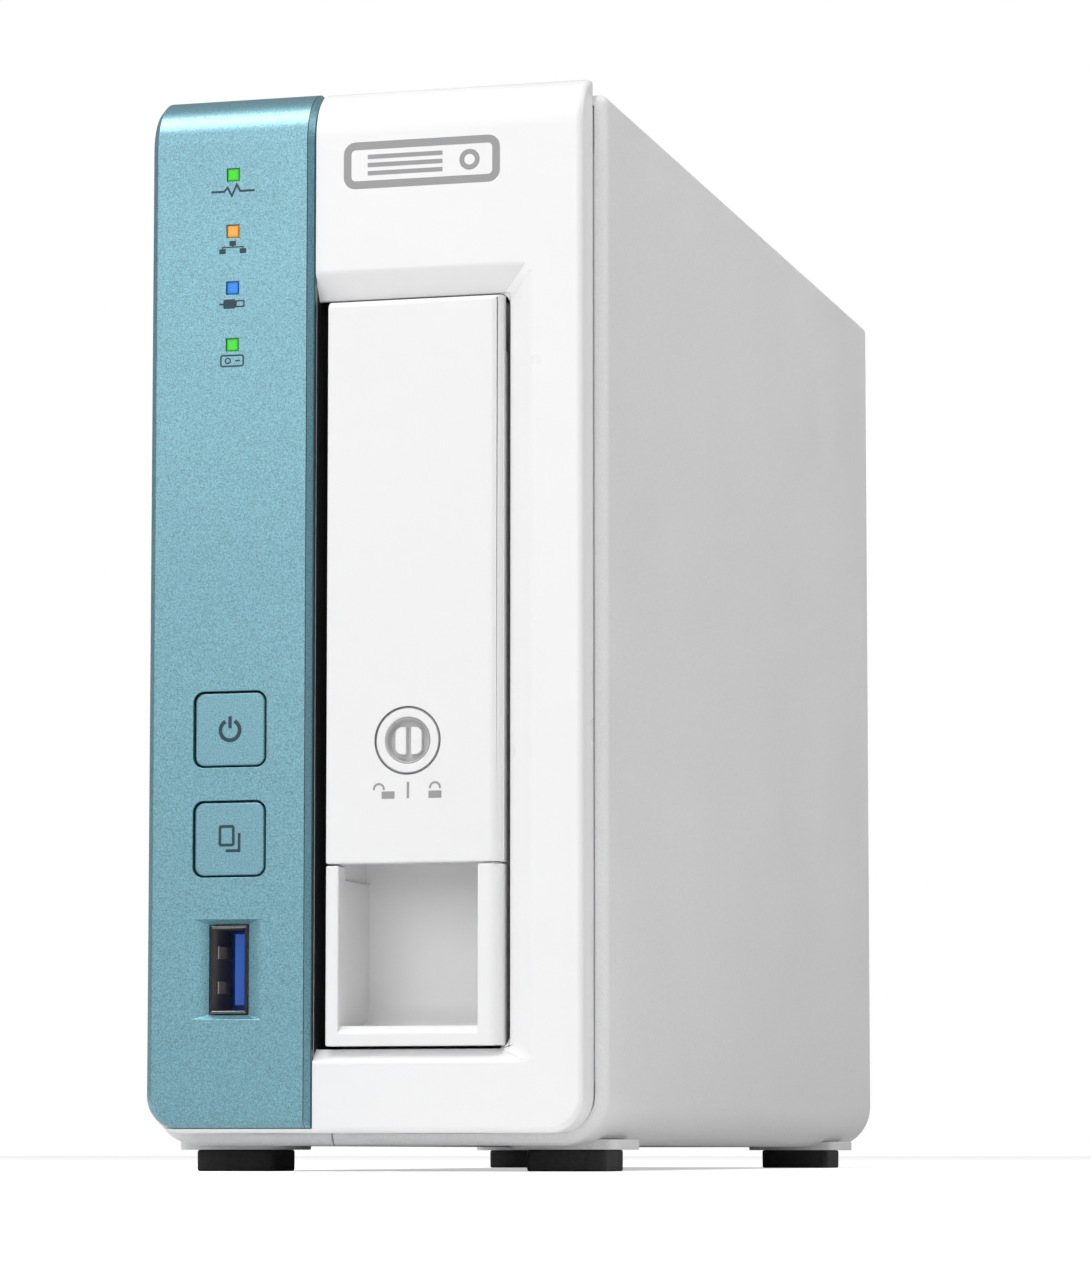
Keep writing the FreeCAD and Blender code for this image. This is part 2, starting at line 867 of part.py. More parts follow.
def control_openings(title, button, lamp):
    """Openings behind and through the front for buttons, light pipes and the port."""
    through = ("-depth / 2 - 1", "-depth / 2 + 6")
    tools = []
    for name, high in (("Power", "power_high"), ("Copy", "copy_high")):
        item = block(
            title + name + "Opening", around("control_line", button), through, around(high, button)
        )
        corners = long_edges(item, "y")
        tools.append(fillet(title + name + "Round", item, ("button_corner", corners)))
    for index in range(len(LAMPS)):
        high = "lamp_top - %d * lamp_pitch" % index
        tools.append(block(
            title + "Lamp%d" % index, around("control_line", lamp), through, around(high, lamp)
        ))
    tools.append(block(
        title + "Port", around("port_line", "port_wide"), through, around("port_high", "port_tall")
    ))
    return tools


def front_plate():
    """The coloured metal-look plate that wraps over the top of the bezel."""
    left = "-(%s)" % BEZEL_SIDE
    solid = brow_block(
        "PlateBrow",
        (left, "plate_right"),
        FRONT_LINE,
        "bezel_back",
        "plate_low",
        "height",
        "brow + 0.5",
    )
    corner = edges_in(solid, "y", x=left, z="plate_low")
    solid = fillet("PlateCorner", solid, ("bezel_corner - 0.5", corner))
    rim = [
        number
        for number, edge in enumerate(solid.Shape.Edges, 1)
        if edge.BoundBox.YMin < value("bezel_back") - 1
        and not (edge.BoundBox.XLength > 5 and edge.BoundBox.ZMin > 100)
        and not (edge.BoundBox.YLength > 1 and edge.BoundBox.ZMin < 20)
    ]
    solid = chamfer("PlateBevel", solid, ("plate_bevel", rim))
    room = brow_block(
        "PlateInside",
        ("-width", "width"),
        "-depth / 2 + plate_thick",
        "plate_back + 2",
        "0",
        "height - plate_thick",
        "brow - plate_thick + 0.5",
    )
    behind = block(
        "PlateBehind",
        ("-width", "width"),
        ("plate_back", "bezel_back + 1"),
        ("0", "height + 1"),
    )
    port_flare = funnel(
        "PortFlare",
        FRONT_LINE,
        FRONT_LINE + " + 1.2",
        around("port_line", "port_wide + 2 * port_flare"),
        around("port_line", "port_wide"),
        around("port_high", "port_tall + 2 * port_flare_end"),
        around("port_high", "port_tall"),
    )
    openings = control_openings("Plate", "button_side + 2 * button_gap", "lamp_side + 0.1")
    keep(cut("FrontPlate", solid, room, behind, port_flare, *openings), "front_plate")


def rear_panel():
    """The flat panel that closes the back: fan grille, ports, lock anchor and screw holes."""
    side = "width / 2 - wall - panel_gap"
    solid = block(
        "PanelBlock",
        ("-(%s)" % side, side),
        (PANEL_FACE, PANEL_BACK),
        (INNER_LOW + " + panel_gap", INNER_HIGH + " - panel_gap"),
    )
    low_edges = [
        edge
        for x in ("-(%s)" % side, side)
        for edge in edges_in(solid, "y", x=x, z=INNER_LOW + " + panel_gap")
    ]
    solid = fillet("PanelCorners", solid, ("casing_corner - wall", low_edges))
    through = (PANEL_FACE + " - 1", PANEL_BACK + " + 1")
    spokes = [
        block("SpokeWide", around("fan_x", "80"), through, around("fan_z", "grille_spoke")),
        block("SpokeTall", around("fan_x", "grille_spoke"), through, around("fan_z", "80")),
    ]
    rings = []
    for index in range(GRILLE_RINGS):
        radius = "%d * grille_step - 1" % (index + 1)
        disc = rod("Ring%d" % index, "y", ("fan_x", "fan_z"), through, radius + " + grille_slot")
        core = rod("Core%d" % index, "y", ("fan_x", "fan_z"), through, radius)
        rings.append(cut("Slot%d" % index, disc, core))
    holes = [cut("GrilleSlots", fuse("Rings", *rings), *spokes)]
    for index, (x, z) in enumerate(fan_corners()):
        holes.append(rod("FanHole%d" % index, "y", (x, z), through, "fan_screw + 0.1"))
    for index, place in enumerate(COVER_POSTS["left"] + COVER_POSTS["right"]):
        holes.append(rod("CoverHole%d" % index, "y", place, through, "cage_screw + 0.1"))
    for index, high in enumerate(("rear_port_lower", "rear_port_upper")):
        holes.append(block(
            "RearPortHole%d" % index,
            around("rear_port_side", "shell_wide + 0.6"),
            through,
            around(high, "shell_tall + 0.6"),
        ))
    holes.append(block(
        "NetworkHole",
        (BOARD_FACE + " - 0.3", BOARD_FACE + " + network_wide + 0.3"),
        through,
        around("network_high", "network_tall + 0.6"),
    ))
    holes.append(block(
        "PowerInHole",
        (BOARD_FACE + " - 0.3", BOARD_FACE + " + power_in_wide + 0.3"),
        through,
        around("power_in_high", "power_in_tall + 0.6"),
    ))
    holes.append(rod("ResetHole", "y", ("reset_side", "reset_high"), through, "reset_radius + 0.1"))
    anchor = block(
        "AnchorSlot",
        around("anchor_side", "anchor_wide"),
        through,
        around("anchor_high", "anchor_tall"),
    )
    holes.append(anchor)
    for index in range(VENTS):
        holes.append(block(
            "PanelVent%d" % index,
            around("panel_vent_side", "panel_vent_wide"),
            through,
            around("panel_vent_low + %d * vent_pitch" % index, "vent_width"),
        ))
    keep(cut("RearPanel", solid, *holes), "rear_panel")


# ---------------------------------------------------------------- fan

def fan_corners():
    return [
        ("fan_x + (%d) * fan_hole_step / 2" % across, "fan_z + (%d) * fan_hole_step / 2" % up)
        for across in (-1, 1)
        for up in (-1, 1)
    ]


def fan():
    """A square axial fan: frame with struts, motor core, bladed rotor on its shaft."""
    frame = block(
        "FanBlock", around("fan_x", "fan_side"), (FAN_FRONT, "fan_back"), around("fan_z", "fan_side")
    )
    corners = long_edges(frame, "y")
    frame = fillet("FanCorners", frame, ("fan_corner", corners))
    centre = ("fan_x", "fan_z")
    bore = rod("FanBore", "y", centre, (FAN_FRONT + " - 1", "fan_back + 1"), "fan_bore")
    ring = cut("FanRing", frame, bore)
    strut_span = ("fan_back - strut_thick", "fan_back")
    seat = rod("FanSeat", "y", centre, strut_span, "hub_radius")
    reach = "2 * fan_bore + 1"
    wide = block("StrutWide", around("fan_x", reach), strut_span, around("fan_z", "strut_wide"))
    tall = block("StrutTall", around("fan_x", "strut_wide"), strut_span, around("fan_z", reach))
    joined = fuse("FanJoined", ring, seat, wide, tall)
    holes = [
        rod("FanMount%d" % index, "y", place, (FAN_FRONT + " - 1", "fan_back + 1"), "fan_screw + 0.02")
        for index, place in enumerate(fan_corners())
    ]
    keep(cut("FanFrame", joined, *holes), "fan_frame")

    hub_back = "fan_back - strut_thick - 0.8"
    hub_front = hub_back + " - hub_long"
    core = rod("MotorCore", "y", centre, (hub_front + " + 3", "fan_back - strut_thick"), "stator_radius")
    hole = rod(
        "MotorBearing",
        "y",
        centre,
        (hub_front + " + 2", "fan_back - strut_thick - 1"),
        "shaft_radius + shaft_play",
    )
    keep(cut("FanMotor", core, hole), "fan_motor")
    shaft = rod(
        "FanShaft", "y", centre, (hub_front + " + hub_wall", "fan_back - strut_thick - 1.5"), "shaft_radius"
    )
    keep(shaft, "fan_shaft")

    rotor = new_body("FanRotor", x="fan_x", y=hub_front, z="fan_z")
    disc = new_sketch(rotor, "HubOutline", "XZ")
    circle(disc, "0", "0", "hub_radius")
    pad(rotor, "Hub", disc, "hub_long", reverse=True)
    inside = new_sketch(rotor, "HubInside", "XZ", "-hub_wall")
    circle(inside, "0", "0", "hub_radius - hub_wall")
    pocket(rotor, "HubHollow", inside, "hub_long")
    profile = new_sketch(rotor, "BladeProfile", "YZ", "hub_radius - 0.8")
    middle = "hub_long / 2"
    polygon(profile, [
        (middle + " - blade_rise", "-blade_half"),
        (middle + " - blade_rise + blade_thick * 1.4", "-blade_half"),
        (middle + " + blade_rise", "blade_half"),
        (middle + " + blade_rise - blade_thick * 1.4", "blade_half"),
    ])
    blade = pad(rotor, "Blade", profile, "blade_tip - hub_radius + 0.8")
    ring_of_blades = rotor.newObject("PartDesign::PolarPattern", "Blades")
    axis = next(item for item in rotor.Origin.OriginFeatures if item.Role == "Y_Axis")
    ring_of_blades.Originals = [blade]
    ring_of_blades.Axis = (axis, [""])
    ring_of_blades.Angle = 360
    ring_of_blades.Occurrences = BLADES
    rotor.Tip = ring_of_blades
    keep(rotor, "fan_rotor")

    screws = [
        screw("FanScrew%d" % index, "y", place, PANEL_BACK, "12", "fan_screw")
        for index, place in enumerate(fan_corners())
    ]
    keep(group("FanScrews", screws), "fan_screws")


def fan_lead():
    """The fan's lead: straight runs joined by tangent arcs, from the frame to its header."""
    low, high = around("header_back", "header_side")
    up = around("header_high", "header_side")
    keep(
        plain_body("FanHeader", (BOARD_FACE, BOARD_FACE + " + header_rise"), (low, high), up),
        "fan_header",
    )
    level = value("header_high")
    route = [
        Vector(value("lead_side"), value(FAN_FRONT), level),
        Vector(value("lead_side"), value(FAN_FRONT + " - lead_straight"), level),
        Vector(value("lead_turn"), value("header_back"), level),
        Vector(value(BOARD_FACE + " + header_rise"), value("header_back"), level),
    ]
    edges = []
    start = route[0]
    for before, corner, after in zip(route, route[1:], route[2:]):
        arrive = (corner - before).normalize()
        leave = (after - corner).normalize()
        turn = arrive.getAngle(leave)
        shorter = min((corner - before).Length, (after - corner).Length)
        trim = 0.45 * shorter
        radius = trim / math.tan(turn / 2)
        print("fan lead bend radius %.2f mm" % radius)
        first = corner - arrive * trim
        last = corner + leave * trim
        middle = corner + (leave - arrive).normalize() * (radius / math.cos(turn / 2) - radius)
        edges.append(Part.LineSegment(start, first).toShape())
        edges.append(Part.Arc(first, middle, last).toShape())
        start = last
    edges.append(Part.LineSegment(start, route[-1]).toShape())
    path = Part.Wire(edges)
    ring = Part.Circle(route[0], Vector(0, 1, 0), value("lead_radius")).toShape()
    tube = path.makePipeShell([Part.Wire([ring])], True, False)
    expected = path.Length * math.pi * value("lead_radius") ** 2
    print("fan lead volume %.2f of %.2f mm3" % (tube.Volume, expected))
    item = doc.addObject("Part::Feature", "FanCable")
    item.Shape = tube
    keep(item, "fan_cable")


# ---------------------------------------------------------------- front controls

def buttons():
    """Two square push buttons with their switches behind them."""
    back = "front_board_face - switch_rise - 1"
    for title, label, high in (
        ("Power", "power", "power_high"),
        ("Copy", "copy", "copy_high"),
    ):
        body = new_body(title + "Button", x="control_line", y=FRONT_LINE + " + button_sink", z=high)
        face = new_sketch(body, title + "Face", "XZ")
        half = ("-button_side / 2", "button_side / 2")
        rectangle(face, half, half)
        pad(body, title + "Cap", face, "button_cap", reverse=True)
        soften(body, title + "Corners", "button_corner - 0.2", long_edges(body.Tip, "y"))
        flange = new_sketch(body, title + "Flange", "XZ", "-button_cap + 0.1")
        wide_half = ("-button_side / 2 - button_flange", "button_side / 2 + button_flange")
        rectangle(flange, wide_half, wide_half)
        pad(body, title + "FlangePad", flange, "1.0", reverse=True)
        stem = new_sketch(body, title + "Stem", "XZ", "-button_cap - 0.8")
        circle(stem, "0", "0", "button_stem")
        reach = back + " + depth / 2 - button_sink - button_cap - 0.8"
        pad(body, title + "StemPad", stem, reach, reverse=True)
        keep(body, label + "_button")

        place = ("control_line", high)
        plunger = rod(title + "Plunger", "y", place, (back, back + " + 1.6"), "plunger_radius")
        keep(plunger, label + "_plunger")
        base = block(
            title + "SwitchBlock",
            around("control_line", "switch_side"),
            ("front_board_face - switch_rise", "front_board_face"),
            around(high, "switch_side"),
        )
        well = rod(
            title + "SwitchWell",
            "y",
            place,
            ("front_board_face - switch_rise - 1", "front_board_face - 1.6"),
            "plunger_radius + 0.1",
        )
        keep(cut(title + "Switch", base, well), label + "_switch")


def lamps():
    """Four clear light pipes and the lamps on the board behind them."""
    chips = []
    for index, label in enumerate(LAMPS):
        high = "lamp_top - %d * lamp_pitch" % index
        title = label.title().replace("_", "")
        pipe = plain_body(
            title,
            around("control_line", "lamp_side"),
            (FRONT_LINE + " + 0.1", "front_board_face - 1.2"),
            around(high, "lamp_side"),
        )
        keep(pipe, label)
        chips.append(block(
            title + "Lamp",
            around("control_line", "lamp_side - 0.4"),
            ("front_board_face - 0.8", "front_board_face"),
            around(high, "lamp_side - 0.8"),
        ))
    keep(group("IndicatorLeds", chips), "indicator_leds")


def port(title, side, high, face, sign):
    """A flat data port: a folded steel shell round a plastic tongue. Returns both pieces."""
    far = "(%s) + (%d) * shell_long" % (face, sign)
    span = (face, far) if sign > 0 else (far, face)
    past = "(%s) - (%d)" % (face, sign)
    hollow = (past, "(%s) - (%d) * 0.4" % (far, sign))
    if sign < 0:
        hollow = (hollow[1], hollow[0])
    outer = block(title + "Outer", around(side, "shell_wide"), span, around(high, "shell_tall"))
    inner = block(
        title + "Inner",
        around(side, "shell_wide - 2 * shell_thick"),
        hollow,
        around(high, "shell_tall - 2 * shell_thick"),
    )
    shell = cut(title + "Shell", outer, inner)
    root = "(%s) - (%d) * 3.0" % (far, sign)
    seat = "(%s) - (%d) * 0.4" % (far, sign)
    tip = "(%s) + (%d) * 1.0" % (face, sign)
    base_span = (root, seat) if sign > 0 else (seat, root)
    tongue_span = (tip, root) if sign > 0 else (root, tip)
    base = block(
        title + "Base",
        around(side, "shell_wide - 2 * shell_thick"),
        base_span,
        around(high, "shell_tall - 2 * shell_thick"),
    )
    tongue = block(
        title + "Tongue",
        ("(%s) + tongue_offset" % side, "(%s) + tongue_offset + tongue_wide" % side),
        tongue_span,
        around(high, "tongue_tall"),
    )
    return shell, fuse(title + "Insert", base, tongue)


# ---------------------------------------------------------------- boards

def board_with_holes(title, label, plane, x, y, places, radius):
    """A circuit board: a padded outline with screw holes, standing up in the casing."""
    if plane == "YZ":
        body = new_body(title, x="main_left")
    elif label == "front_board":
        body = new_body(title, y="front_board_face")
    else:
        body = new_body(title, y="backplane_face")
    outline = new_sketch(body, title + "Outline", plane)
    rectangle(outline, x, y)
    pad(body, title + "Pad", outline, "board_thick", reverse=plane == "XZ")
    if places:
        drill = new_sketch(body, title + "Drill", plane)
        for place in places:
            circle(drill, place[0], place[1], radius)
        pocket(body, title + "Holes", drill)
    keep(body, label)


def boards():
    """Main board with its chips, front board, backplane and their screws."""
    board_with_holes(
        "MainBoard", "main_board", "YZ", ("main_front", "main_back"), ("main_low", "main_high"),
        BOARD_POSTS, "board_screw + 0.1",
    )
    board_with_holes(
        "FrontBoard", "front_board", "XZ", ("front_board_left", "front_board_right"),
        ("front_board_low", "front_board_high"), FRONT_POSTS, "board_screw + 0.1",
    )
    board_with_holes(
        "BackplaneBoard", "backplane_board", "XZ", ("backplane_left", "backplane_right"),
        ("backplane_low", "backplane_high"), [], "board_screw",
    )
    main_screws = [
        screw("BoardScrew%d" % index, "x", place, BOARD_FACE, "4.5", "board_screw")
        for index, place in enumerate(BOARD_POSTS)
    ]
    keep(group("BoardScrews", main_screws), "board_screws")
    front_screws = [
        screw("FrontScrew%d" % index, "y", place, "front_board_face + board_thick", "6", "board_screw")
        for index, place in enumerate(FRONT_POSTS)
    ]
    keep(group("FrontBoardScrews", front_screws), "front_board_screws")

    chip_top = BOARD_FACE + " + processor_rise"
    keep(
        plain_body(
            "Processor",
            (BOARD_FACE, chip_top),
            around("processor_back", "processor_side"),
            around("processor_high", "processor_side"),
        ),
        "processor",
    )
    slab = block(
        "SinkBase",
        (chip_top, chip_top + " + sink_base"),
        around("processor_back", "sink_side"),
        around("processor_high", "sink_side"),
    )
    fins = []
    for index in range(SINK_FINS):
        share = index / (SINK_FINS - 1) - 0.5
        fins.append(block(
            "Fin%d" % index,
            (chip_top + " + sink_base - 0.2", chip_top + " + sink_rise"),
            around("processor_back", "sink_side"),
            around("processor_high + (%.6f) * (sink_side - fin_thick)" % share, "fin_thick"),
        ))
    keep(fuse("HeatSink", slab, *fins), "heat_sink")

    memory = [
        block(
            "Memory%d" % index,
            (BOARD_FACE, BOARD_FACE + " + memory_rise"),
            around("memory_back", "memory_long"),
            around("processor_high + (%d)" % lift, "memory_tall"),
        )
        for index, lift in enumerate((-8, 8))
    ]
    keep(group("MemoryChips", memory), "memory_chips")

    cell_place = ("cell_back", "cell_high")
    cup = rod("HolderCup", "x", cell_place, (BOARD_FACE, BOARD_FACE + " + 2.6"), "cell_radius + 1.4")
    room = rod(
        "HolderRoom", "x", cell_place, (BOARD_FACE + " + 0.6", BOARD_FACE + " + 9"), "cell_radius + 0.1"
    )
    keep(cut("CoinCellHolder", cup, room), "coin_cell_holder")
    cell = rod(
        "CoinCell",
        "x",
        cell_place,
        (BOARD_FACE + " + 0.6", BOARD_FACE + " + 0.6 + cell_rise"),
        "cell_radius",
    )
    keep(cell, "coin_cell")

    link = plain_body(
        "BoardLinkConnector",
        (BOARD_FACE, "backplane_left"),
        ("backplane_face - 2.5", "backplane_face + 4.1"),
        ("link_low", "link_high"),
    )
    keep(link, "board_link_connector")
    socket = plain_body(
        "BackplaneConnector",
        ("drive_left", "drive_left + socket_wide"),
        ("drive_front + drive_long + 0.4", "backplane_face"),
        ("socket_low", "socket_high"),
    )
    keep(socket, "backplane_connector")


def rear_ports():
    """Sockets along the back edge of the main board."""
    pairs = [
        port("RearPort%d" % index, "rear_port_side", high, "port_face", -1)
        for index, high in enumerate(("rear_port_lower", "rear_port_upper"))
    ]
    keep(group("RearUsbShells", [pair[0] for pair in pairs]), "rear_usb_shells")
    keep(group("RearUsbInserts", [pair[1] for pair in pairs]), "rear_usb_inserts")

    front_shell, front_insert = port(
        "FrontPort", "port_line", "port_high", "-depth / 2 + 0.9", 1
    )
    keep(front_shell, "front_usb_shell")
    keep(front_insert, "front_usb_insert")

    body = block(
        "NetworkBlock",
        (BOARD_FACE, BOARD_FACE + " + network_wide"),
        ("port_face - network_long", "port_face"),
        around("network_high", "network_tall"),
    )
    middle = BOARD_FACE + " + network_wide / 2"
    mouth = block(
        "NetworkMouth",
        around(middle, "network_mouth_wide"),
        ("port_face - network_mouth_deep", "port_face + 1"),
        around("network_high", "network_mouth_tall"),
    )
    notch = block(
        "NetworkNotch",
        (middle, middle + " + network_mouth_wide / 2 + 1.6"),
        ("port_face - network_mouth_deep + 4", "port_face + 1"),
        around("network_high", "6"),
    )
    keep(cut("NetworkJack", body, mouth, notch), "network_jack")

    inlet = block(
        "PowerInBlock",
        (BOARD_FACE, BOARD_FACE + " + power_in_wide"),
        ("port_face - power_in_long", "port_face"),
        around("power_in_high", "power_in_tall"),
    )
    place = (BOARD_FACE + " + power_in_wide / 2", "power_in_high")
    bore = rod(
        "PowerInBore", "y", place, ("port_face - power_in_deep", "port_face + 1"), "power_in_bore"
    )
    pin = rod(
        "PowerInPin", "y", place, ("port_face - power_in_deep - 1", "port_face - 1.5"), "power_in_pin"
    )
    keep(fuse("PowerJack", cut("PowerInShell", inlet, bore), pin), "power_jack")

    switch = block(
        "ResetBlock",
        (BOARD_FACE, BOARD_FACE + " + 6"),
        ("main_back - 7", "main_back - 1"),
        around("reset_high", "6"),
    )
    spot = ("reset_side", "reset_high")
    well = rod("ResetWell", "y", spot, ("main_back - 4", "main_back"), "reset_radius + 0.15")
    keep(cut("ResetSwitch", switch, well), "reset_switch")
    keep(
        rod("ResetButton", "y", spot, ("main_back - 3", "main_back + 1.2"), "reset_radius"),
        "reset_button",
    )


# ---------------------------------------------------------------- drive bay

def cage():
    """A folded sheet tube round the drive, with the two guides that the tray runs on."""
    tube = block(
        "CageBlock", ("cage_left", "cage_right"), ("cage_front", "cage_back"), ("cage_low", "cage_high")
    )
    inside = block(
        "CageInside",
        ("cage_left + sheet_thick", "cage_right - sheet_thick"),
        ("cage_front - 1", "cage_back + 1"),
        ("cage_low + sheet_thick", "cage_high - sheet_thick"),
    )
    window = block(
        "CageWindow",
        ("cage_right - 2", "cage_right + 1"),
        ("window_front", "window_back"),
        ("window_low", "window_high"),
    )
    holes = [
        rod("CageHole%d" % index, "z", place, ("cage_low - 1", "cage_low + 3"), "cage_screw + 0.1")
        for index, place in enumerate(CAGE_POSTS)
    ]
    breathers = [
        rod(
            "CageBreather%d" % index,
            "x",
            ("breather_front + %d * breather_pitch" % index, "drive_mid + breather_rise"),
            ("cage_left - 1", "cage_left + 3"),
            "breather_radius",
        )
        for index in range(BREATHERS)
    ]
    keep(cut("DriveCage", tube, inside, window, *holes, *breathers), "drive_cage")
    sides = ("guide_left", "guide_left + guide_wide")
    runs = ("guide_front", "guide_back")
    low = ("cage_low + sheet_thick", "rail_low - guide_gap")
    high = ("rail_high + guide_gap", "cage_high - sheet_thick")
    keep(plain_body("LowerGuide", sides, runs, low), "lower_guide")
    keep(plain_body("UpperGuide", sides, runs, high), "upper_guide")
    screws = [
        screw("CageScrew%d" % index, "z", place, "cage_low + sheet_thick", "8", "cage_screw")
        for index, place in enumerate(CAGE_POSTS)
    ]
    keep(group("CageScrews", screws), "cage_screws")


def drive_bores(prefix, radius, low_span, high_span):
    """Rods at the drive's side mounting holes, above and below it."""
    x = "drive_left + drive_hole_up"
    tools = []
    for index in range(2):
        y = "drive_front + drive_hole_front + %d * drive_hole_step" % index
        tools.append(rod(prefix + "Low%d" % index, "z", (x, y), low_span, radius))
        tools.append(rod(prefix + "High%d" % index, "z", (x, y), high_span, radius))
    return tools


def hard_drive():
    """The hard drive that the tray carries: a cast case, a lid and four side screws."""
    right = "drive_left + drive_thick"
    long_span = ("drive_front", "drive_front + drive_long")
    tall = (DRIVE_SIDE_LOW, DRIVE_SIDE_HIGH)
    case = block("DriveBlock", ("drive_left", right + " - drive_lid"), long_span, tall)
    corners = long_edges(case, "x")
    case = fillet("DriveCorners", case, ("2", corners))
    relief = block(
        "DriveRelief",
        ("drive_left - 1", "drive_left + 2.4"),
        ("drive_front + 60", "drive_front + drive_long - 12"),
        (DRIVE_SIDE_LOW + " + 8", DRIVE_SIDE_HIGH + " - 8"),
    )
    bores = drive_bores(
        "DriveBore",
        "drive_screw + 0.02",
        (DRIVE_SIDE_LOW + " - 1", DRIVE_SIDE_LOW + " + 5"),
        (DRIVE_SIDE_HIGH + " - 5", DRIVE_SIDE_HIGH + " + 1"),
    )
    keep(cut("DriveCase", case, relief, *bores), "drive_case")
    lid = block(
        "LidBlock",
        (right + " - drive_lid", right),
        ("drive_front + 1", "drive_front + drive_long - 8"),
        (DRIVE_SIDE_LOW + " + 1", DRIVE_SIDE_HIGH + " - 1"),
    )
    rounds = long_edges(lid, "x")
    keep(fillet("DriveLid", lid, ("4", rounds)), "drive_lid")

    x = "drive_left + drive_hole_up"
    screws = []
    for index in range(2):
        place = (x, "drive_front + drive_hole_front + %d * drive_hole_step" % index)
        screws.append(
            screw("DriveScrewLow%d" % index, "z", place, "rail_low + 2", "6.5", "drive_screw", sign=-1)
        )
        screws.append(screw("DriveScrewHigh%d" % index, "z", place, "rail_high - 2", "6.5", "drive_screw"))
    keep(group("DriveScrews", screws), "drive_screws")


def tray_body():
    """The tray: a front with a finger pocket, side walls behind the lever, and a cradle."""
    width = ("tray_left", "tray_right")
    lower = block("TrayChin", width, ("tray_front", TRAY_BACK), ("tray_low", "lever_low - lever_gap"))
    lower = fillet(
        "TrayChinEdge", lower, ("tray_edge", edges_in(lower, "z", x="tray_right", y="tray_front"))
    )
    upper = block("TrayHead", width, (SHOULDER, TRAY_BACK), ("lever_low - lever_gap - 1", "tray_high"))
    plate = block(
        "CradlePlate", ("tray_left", "tray_left + tray_wall"), (TRAY_BACK + " - 1", "cradle_back"),
        ("rail_low", "rail_high"),
    )
    rails = [
        block(
            "CradleRail%d" % index,
            ("tray_left", "tray_left + rail_wide"),
            (TRAY_BACK + " - 1", "cradle_back"),
            span,
        )
        for index, span in enumerate((
            ("rail_low", DRIVE_SIDE_LOW + " - 0.3"),
            (DRIVE_SIDE_HIGH + " + 0.3", "rail_high"),
        ))
    ]
    solid = fuse("TraySolid", lower, upper, plate, *rails)
    pocket_room = block(
        "PocketRoom",
        ("pocket_left", "pocket_right"),
        ("tray_front - 1", POCKET_BACK),
        ("pocket_low", "lever_low"),
    )
    heel = edges_in(pocket_room, "x", y=POCKET_BACK, z="pocket_low")
    pocket_room = fillet("PocketRoomHeel", pocket_room, ("pocket_heel", heel))
    head_room = block(
        "HeadRoom",
        ("tray_left + tray_wall", "tray_right - tray_wall"),
        (SHOULDER + " - 1", POCKET_BACK),
        ("lever_low - lever_gap - 2", "tray_high - tray_wall"),
    )
    windows = []
    for index in range(CRADLE_WINDOWS):
        front = "cradle_window_front + %d * cradle_window_pitch" % index
        windows.append(block(
            "CradleWindow%d" % index,
            ("tray_left - 1", "tray_left + tray_wall"),
            (front, front + " + cradle_window_long"),
            ("rail_low + cradle_window_border", "rail_high - cradle_window_border"),
        ))
    lever_room = block(
        "LeverSweepRoom",
        ("tray_left - 1", "tray_right + 1"),
        (SHOULDER + " - 1", PIN_BACK + " + lever_sweep"),
        (PIN_HIGH + " - lever_sweep", "tray_high + 1"),
    )
    sinks = drive_bores(
        "ScrewSink",
        "drive_screw * 1.8 + 0.3",
        ("rail_low - 1", "rail_low + 2"),
        ("rail_high - 2", "rail_high + 1"),
    )
    bores = drive_bores(
        "RailBore",
        "drive_screw + 0.1",
        ("rail_low", "rail_low + 9"),
        ("rail_high - 9", "rail_high"),
    )
    rooms = [pocket_room, head_room, lever_room]
    hollowed = cut("TrayHollowed", solid, *rooms, *windows, *sinks, *bores)
    sill = edges_in(hollowed, "x", y="tray_front", z="pocket_low")
    hollowed = chamfer("TraySill", hollowed, ("pocket_sill", sill))
    roof = block(
        "PocketRoof",
        ("tray_left + tray_wall - 0.5", "tray_right - tray_wall + 0.5"),
        (SHOULDER + " + 2", POCKET_BACK + " + 0.5"),
        ("pocket_roof", "pocket_roof + tray_wall"),
    )
    ears = []
    for index, span in enumerate(ear_spans()):
        ears.append(block(
            "EarArm%d" % index,
            span,
            (PIN_BACK, POCKET_BACK + " + 0.5"),
            around(PIN_HIGH, "2 * ear_half"),
        ))
        ears.append(rod("EarEnd%d" % index, "x", (PIN_BACK, PIN_HIGH), span, "ear_radius"))
    joined = fuse("TrayJoined", hollowed, roof, *ears)
    pin_hole = rod(
        "PinHole", "x", (PIN_BACK, PIN_HIGH), ("tray_left + 1.9", "tray_right - 2"), "pin_radius"
    )
    keep(cut("TrayBody", joined, pin_hole), "tray_body")
    keep(
        rod("LeverPin", "x", (PIN_BACK, PIN_HIGH), ("tray_left + 1.9", "tray_right - 2"), "pin_radius"),
        "lever_pin",
    )


def ear_spans():
    """Where the two ears that hold the lever's pin start and end, left and right."""
    return (
        ("tray_left + tray_wall - 0.1", "tray_left + tray_wall + ear_inner"),
        ("tray_right - tray_wall - ear_inner", "tray_right - tray_wall + 0.1"),
    )


